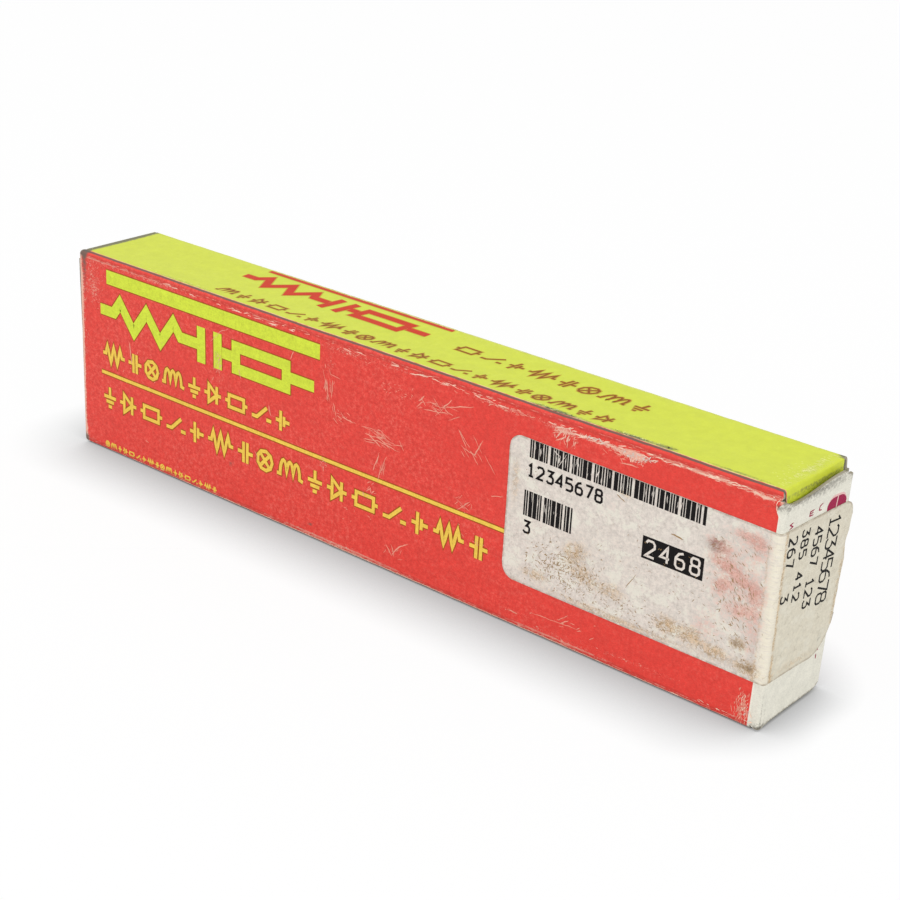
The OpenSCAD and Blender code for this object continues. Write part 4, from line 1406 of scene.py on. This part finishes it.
def stained_paper(name, colour, kit):
    """The label's paper: grain, specks, hairline creases, pink and brown stains, a painted highlight on the
    crease and painted shade beside it, soot and a worn rim.
    """
    c = palette()

    def build(n):
        place = n.place()
        pink, brown, soot, end = (n.fact(fact) for fact in ("pink", "brown", "soot", "end"))
        grain = n.group(kit.fibre, Place=place, Size=1.6)
        ragged = n.minus(n.noise(place, 0.8, 6.0, 0.75), 0.5)
        rough = n.minus(n.noise(place, 1.15, 5.0, 0.85), 0.5)
        calm = n.ramp(end, 0, 1, 1.0, 0.45)
        tone = n.ramp(n.times(rough, calm), -0.2, 0.2, 0.8, 1.13)
        tone = n.times(n.ramp(ragged, -0.2, 0.2, 0.93, 1.05), tone)
        toned = n.tint(n.mix(end, colour, c.old_paper), tone)
        faded = n.ramp(n.noise(place, 0.26, 5.0, 0.75), 0.5, 0.6, 0.0, 0.7)
        toned = n.mix(n.times(faded, calm), toned, shade(c.board, 1.03))
        # The crease's brighter band: partly rubbed paper and partly a painted highlight
        wrinkled = n.noise(place, 3.2, 3.0, 0.7, (0.16, 1.0, 1.0))
        bright = n.times(n.fact("bright"), n.ramp(wrinkled, 0.36, 0.56, 0.3, 0.9))
        toned = n.mix(bright, toned, shade(c.old_paper, 1.18))
        # The brown fact brings stains and, beside the crease, painted shade
        for fact, share, tint in ((pink, 0.56, c.pink), (brown, 0.72, c.ochre), (soot, 0.6, c.black)):
            amount = n.plus(fact, n.plus(n.times(ragged, 1.4), n.times(rough, 2.0)))
            amount = n.times(n.ramp(amount, 0.05, 0.95), n.ramp(fact, 0.02, 0.3))
            toned = n.mix(n.times(amount, share), toned, tint)
        for size, density, share, tint in (
            (0.35, 0.08, 0.4, shade(c.paper, 1.2)), (0.6, 0.09, 0.45, c.tan),
            (0.9, 0.085, 0.55, shade(c.tan, 0.4)),
        ):
            more = n.plus(n.times(brown, 0.08), density)
            more = n.minus(more, n.times(end, 0.1))
            specks = n.group(kit.speck, Place=place, Size=size, Density=more)["Mask"]
            toned = n.mix(n.times(specks, share), toned, tint)
        level = n.math("ABSOLUTE", n.plus(ragged, n.times(rough, 0.25)))
        thin = n.ramp(level, 0.01, 0.035, 0.7, 0.0)
        toned = n.mix(n.times(thin, n.ramp(brown, 0.1, 0.35)), toned, shade(c.ochre, 0.52))
        toned = n.mix(n.times(thin, n.ramp(pink, 0.25, 0.6, 0.0, 0.7)), toned, shade(c.pink, 0.62))
        cracks = n.group(kit.crease, Place=place, Size=0.55)["Mask"]
        toned = n.mix(n.times(cracks, 0.2), toned, shade(c.tan, 0.5))
        rim = n.times(n.ramp(n.fact("edge"), 0.0, 0.6, 0.6, 0.0), n.ramp(ragged, -0.15, 0.1))
        height = n.minus(grain["Height"], n.times(cracks, 0.8))
        return {"colour": n.mix(rim, toned, shade(c.tan, 0.7)), "height": height}

    return principled(name, build, 0.7, Specular_IOR_Level=0.25)


def ink_over_label(name, colour, kit, chipped=0.5):
    """An ink on the label or beside it, patchy, with chips through which the paper shows."""
    c = palette()

    def build(n):
        place = n.place()
        grain = n.group(kit.fibre, Place=place, Size=1.6)
        toned = n.tint(colour, n.ramp(grain["Height"], 0.3, 0.7, 0.85, 1.15))
        chips = n.ramp(n.noise(place, 5.0, 4.0, 0.75, (1.0, 0.3, 1.0)), 0.64, 0.78)
        toned = n.mix(n.times(chips, chipped), toned, c.paper)
        return {"colour": toned, "height": grain["Height"]}

    return principled(name, build, 0.6, Specular_IOR_Level=0.12)


def ink_over_board(name, colour, kit):
    """An ink printed over the board, worn, and with painted highlight, sheen and shade, as the board is."""
    def build(n):
        return worn_ink_with_painted_light(n, kit, colour, shade(colour, 1.2), shade(colour, 0.55))

    return principled(name, build, Specular_IOR_Level=0.1)


FINISHES = {}


def finishes():
    """Every finish, made once and kept by name in FINISHES."""
    if FINISHES:
        return SimpleNamespace(**FINISHES)
    c = palette()
    kit = SimpleNamespace(fibre=fibre_group(), rub=rub_group(), line=line_group(), speck=speck_group(),
                          crease=crease_group())
    FINISHES.update(
        printed=printed_board(kit),
        inside=plain_board("inner face of board", c.inside, kit),
        cut=plain_board("cut edge of board", c.cut, kit, 0.3),
        bright=ink_over_board("bright yellow ink", c.bright, kit),
        yellow=ink_over_board("yellow ink", c.yellow, kit),
        orange=ink_over_board("orange red ink", c.orange, kit),
        brown=ink_over_board("brown ink", c.brown, kit),
        trap=ink_over_board("rim on red", c.trap, kit),
        lime_trap=ink_over_board("rim on lime", c.lime_trap, kit),
        scratch=plain_board("scratched ink", c.scratch, kit, 0.0),
        fibre=plain_board("torn fibres", shade(c.worn, 1.12), kit, 0.0),
        label=stained_paper("label paper", c.paper, kit),
        black=ink_over_label("black print", c.black, kit, 0.6),
        white=ink_over_label("white digits", c.paper, kit),
        wine=ink_over_label("wine red print", c.wine, kit),
        halo=ink_over_label("pale red print", c.halo, kit),
        rust=ink_over_label("brown scratch", shade(c.ochre, 0.52), kit),
        dirt=ink_over_label("dark dirt", shade(c.tan, 0.16), kit),
        pale_lime=plain_board("scratched lime", c.lime_scratch, kit, 0.0),
    )
    return SimpleNamespace(**FINISHES)


def white_floor():
    """Matt paper that a camera sees as white outside the soft shadow round the object.

    For a camera, most of its light is its own glow times the share of the sky
    that nothing near hides, and the rest is what falls on it. What is near reaches
    half as far past the right end.
    """

    def build(n):
        watched = n.watched()
        across = n.first(n.add("ShaderNodeTexCoord").outputs["Object"])
        reach = n.ramp(across, 0.076, 0.094, SHADOW_REACH, SHADOW_REACH / 2)
        open_sky = n.add("ShaderNodeAmbientOcclusion", {"Distance": reach}, samples=16).outputs["AO"]
        shader = n.tree.nodes["Principled BSDF"]
        glow = n.times(watched, n.times(open_sky, FLOOR_GLOW))
        n.put(shader.inputs["Emission Strength"], glow)
        grey = n.ramp(watched, 0, 1, FLOOR_GREY, FLOOR_SEEN, False)
        return {"colour": n.add("ShaderNodeCombineColor", {0: grey, 1: grey, 2: grey}).outputs[0]}

    return principled("white floor", build, 0.95, Emission_Color=(1, 1, 1, 1), Specular_IOR_Level=0.0)


class CARTON_OT_sleeve(bpy.types.Operator):
    """Makes the folded sleeve with its glue flap and dust flaps"""

    bl_idname = "carton.sleeve"
    bl_label = "Make sleeve"

    def execute(self, context):
        p, m = plan(), finishes()
        piece = sheet("sleeve", sleeve_patches(p), [m.printed, m.inside, m.cut], carton_facts(p), p.board)
        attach(piece, "carton")
        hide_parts("carton_sleeve")
        return {"FINISHED"}


class CARTON_OT_closures(bpy.types.Operator):
    """Makes the two closures, shaped round their creases at the sleeve's ends"""

    bl_idname = "carton.closures"
    bl_label = "Make closures"

    def execute(self, context):
        p, m = plan(), finishes()
        for side, name in ((1, "right"), (-1, "left")):
            finish = [m.printed, m.inside, m.cut]
            piece = sheet(name + "_closure", closure_patches(p, side), finish, carton_facts(p), p.board)
            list(crease_span(p, side))
            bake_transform(piece)
            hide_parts(name + "_closure_flap")
        return {"FINISHED"}


class CARTON_OT_print(bpy.types.Operator):
    """Prints signs of a circuit drawing on the four panels"""

    bl_idname = "carton.print"
    bl_label = "Print panels"

    def execute(self, context):
        p, m = plan(), finishes()
        large, narrow = (m.bright, m.yellow, m.trap), (m.orange, m.brown, m.lime_trap)
        marks = {
            "front": (large, large_panel_marks(29.7, 32.0)), "back": (large, large_panel_marks(29.7, 79.5)),
            "top": (narrow, narrow_panel_marks()), "bottom": (narrow, narrow_panel_marks()),
        }
        for panel, (inks, (bold, thin)) in marks.items():
            rims = [(points, width + TRAP, closed) for points, width, closed in bold + thin if width > 0.35]
            layers = (("bold", inks[0], bold, PRINT_LIFT), ("thin", inks[1], thin, PRINT_LIFT),
                      ("rims", inks[2], rims, PRINT_LIFT / 2))
            for name, ink, strokes, lift in layers:
                patches = ribbons(panels(p)[panel], strokes, lift)
                piece = sheet(panel + "_print_" + name, patches, [ink], carton_facts(p))
                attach(piece, "carton")
        return {"FINISHED"}


class CARTON_OT_label(bpy.types.Operator):
    """Makes the paper label, which wraps round the right crease"""

    bl_idname = "carton.label"
    bl_label = "Make label"

    def execute(self, context):
        p, m = plan(), finishes()
        piece = sheet("label", label_patches(p), [m.label] * 3, label_facts(p), LABEL_THICKNESS)
        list(crease_span(p, 1))
        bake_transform(piece)
        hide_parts("label_front", "label_end")
        return {"FINISHED"}


class CARTON_OT_label_print(bpy.types.Operator):
    """Prints the label's bars and plain numbers, and the marks beside it on the closure"""

    bl_idname = "carton.label_print"
    bl_label = "Print label"

    def execute(self, context):
        p, m = plan(), finishes()
        on_front = on_label(p)

        def on_end(s, t, lift):
            return on_front(t, -s, lift)

        def on_closure(y, z, lift):
            along = y + p.half_d - p.crease + p.axis_x - p.join_x + math.pi / 2 * p.crease
            return patch(closure_surface(p, 1, along, z, lift), (p.join_x + along, z))

        box_digits = number_row("2468", -24.6, 14.85, 2.9, 3.0, 0.42)
        halos = [(points, width + 0.8, closed) for points, width, closed in CLOSURE_MARKS[:1]]
        for name, place, strokes, ink, lift, body, taper in (
            ("label_print_front", on_front, label_marks(), m.black, LABEL_INK_LIFT, "carton", 0),
            ("label_box_digits", on_front, box_digits, m.white, 0.12, "carton", 0),
            ("label_print_end", on_end, end_marks(), m.black, LABEL_INK_LIFT, "right_closure", 0),
            ("closure_halos", on_closure, halos, m.halo, PRINT_LIFT / 2, "right_closure", 0.7),
            ("closure_marks", on_closure, CLOSURE_MARKS, m.wine, PRINT_LIFT, "right_closure", 0.7),
            ("closure_split", on_closure, CLOSURE_SPLIT, m.halo, 1.5 * PRINT_LIFT, "right_closure", 0),
        ):
            piece = sheet(name, ribbons(place, strokes, lift, 0.3, taper), [ink], label_facts(p))
            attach(piece, body)
        return {"FINISHED"}


class CARTON_OT_scratches(bpy.types.Operator):
    """Makes scratches, torn fibres, chips and small dirt on the front, its top fold and the label"""

    bl_idname = "carton.scratches"
    bl_label = "Make scratches"

    def execute(self, context):
        p, m = plan(), finishes()
        on_front, on_paper = panels(p)["front"], on_label(p)
        for name, place, lines, bundles, finish, lift in (
            ("scratches", on_front, SCRATCHES, BUNDLES, m.scratch, 2 * PRINT_LIFT),
            ("torn_fibres", on_front, FIBRES, FIBRE_BUNDLES, m.fibre, 3 * PRINT_LIFT),
            ("bare_cores", on_front, [], CORE_BUNDLES, m.white, 3.4 * PRINT_LIFT),
            ("lime_scratches", on_front, [], LIME_BUNDLES, m.pale_lime, PRINT_LIFT),
            ("lime_scuffs", on_front, [], LIME_SCUFFS, m.dirt, 1.1 * PRINT_LIFT),
            ("label_scratches", on_paper, LABEL_SCRATCHES, LABEL_BUNDLES, m.rust, 0.108),
            ("label_soot", on_paper, [], LABEL_SOOT, m.dirt, 0.11),
            ("label_chips", on_paper, LABEL_CHIPS, CHIP_BUNDLES, m.white, 0.113),
        ):
            strokes = [(line, 0.1 + 0.03 * (k * 7 % 5), False) for k, line in enumerate(lines)]
            strokes += bundled(bundles)
            piece = sheet(name, ribbons(place, strokes, lift, 0.4, 1.0, 0.45), [finish], label_facts(p))
            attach(piece, "carton")
        return {"FINISHED"}


class CARTON_OT_stage(bpy.types.Operator):
    """Makes the camera, the floor and the lights"""

    bl_idname = "carton.stage"
    bl_label = "Make stage"

    def execute(self, context):
        scene = context.scene
        s = scene.carton_stage
        camera = bpy.data.objects.new("camera", bpy.data.cameras.new("camera"))
        camera.data.lens, camera.data.sensor_width = s.lens, SENSOR
        camera.data.clip_start, camera.data.clip_end = 0.01, 20
        camera.location, camera.rotation_euler = s.place, s.turn
        scene.collection.objects.link(camera)
        scene.camera = camera

        corners = [(x * FLOOR_HALF, y * FLOOR_HALF, 0) for x, y in ((-1, -1), (1, -1), (1, 1), (-1, 1))]
        floor = bpy.data.objects.new("floor", bpy.data.meshes.new("floor"))
        floor.data.from_pydata(corners, [], [(0, 1, 2, 3)])
        floor.data.materials.append(white_floor())
        scene.collection.objects.link(floor)

        world = bpy.data.worlds.new("studio")
        world.use_nodes = True
        scene.world = world
        sky = Nodes(world.node_tree)
        background = world.node_tree.nodes["Background"]
        background.inputs["Color"].default_value = (1, 1, 1, 1)
        sky.put(background.inputs["Strength"], sky.ramp(sky.watched(), 0, 1, s.sky, 1.0, False))

        for name, power, place in (("key", s.key, (-0.35, -0.8, 0.6)), ("fill", s.fill, (0.9, -0.35, 0.4))):
            lamp = bpy.data.lights.new(name, "AREA")
            lamp.shape, lamp.size, lamp.energy = "DISK", LAMP_SIZE, power
            holder = bpy.data.objects.new(name, lamp)
            holder.location = place
            way = Vector(LAMP_AIM) - holder.location
            holder.rotation_euler = way.to_track_quat("-Z", "Y").to_euler()
            scene.collection.objects.link(holder)
        scene.view_settings.view_transform = "Standard"
        return {"FINISHED"}


class CARTON_PT_panel(bpy.types.Panel):
    """Lists the carton's settings and the steps that make it"""

    bl_label = "Carton"
    bl_idname = "CARTON_PT_panel"
    bl_space_type = "VIEW_3D"
    bl_region_type = "UI"
    bl_category = "Carton"

    def draw(self, context):
        for step in STEPS:
            self.layout.operator("carton." + step)
        for settings in SETTINGS:
            group = getattr(context.scene, settings)
            column = self.layout.column()
            for name in group.__annotations__:
                column.prop(group, name)


SETTINGS = {"carton_sizes": CartonSizes, "carton_colours": CartonColours, "carton_stage": CartonStage}
STEPS = ("stage", "sleeve", "closures", "print", "label", "label_print", "scratches")
CLASSES = (
    *SETTINGS.values(), CARTON_OT_stage, CARTON_OT_sleeve, CARTON_OT_closures, CARTON_OT_print,
    CARTON_OT_label, CARTON_OT_label_print, CARTON_OT_scratches, CARTON_PT_panel,
)


def register():
    """Registers the classes and hangs the settings on the scene."""
    for cls in CLASSES:
        bpy.utils.register_class(cls)
    for name, cls in SETTINGS.items():
        setattr(bpy.types.Scene, name, bpy.props.PointerProperty(type=cls))


def unregister():
    """Takes the settings and classes away again."""
    for name in SETTINGS:
        delattr(bpy.types.Scene, name)
    for cls in reversed(CLASSES):
        bpy.utils.unregister_class(cls)


def main():
    """Makes every piece."""
    register()
    for step in STEPS:
        getattr(bpy.ops.carton, step)()


if __name__ == "__main__":
    main()
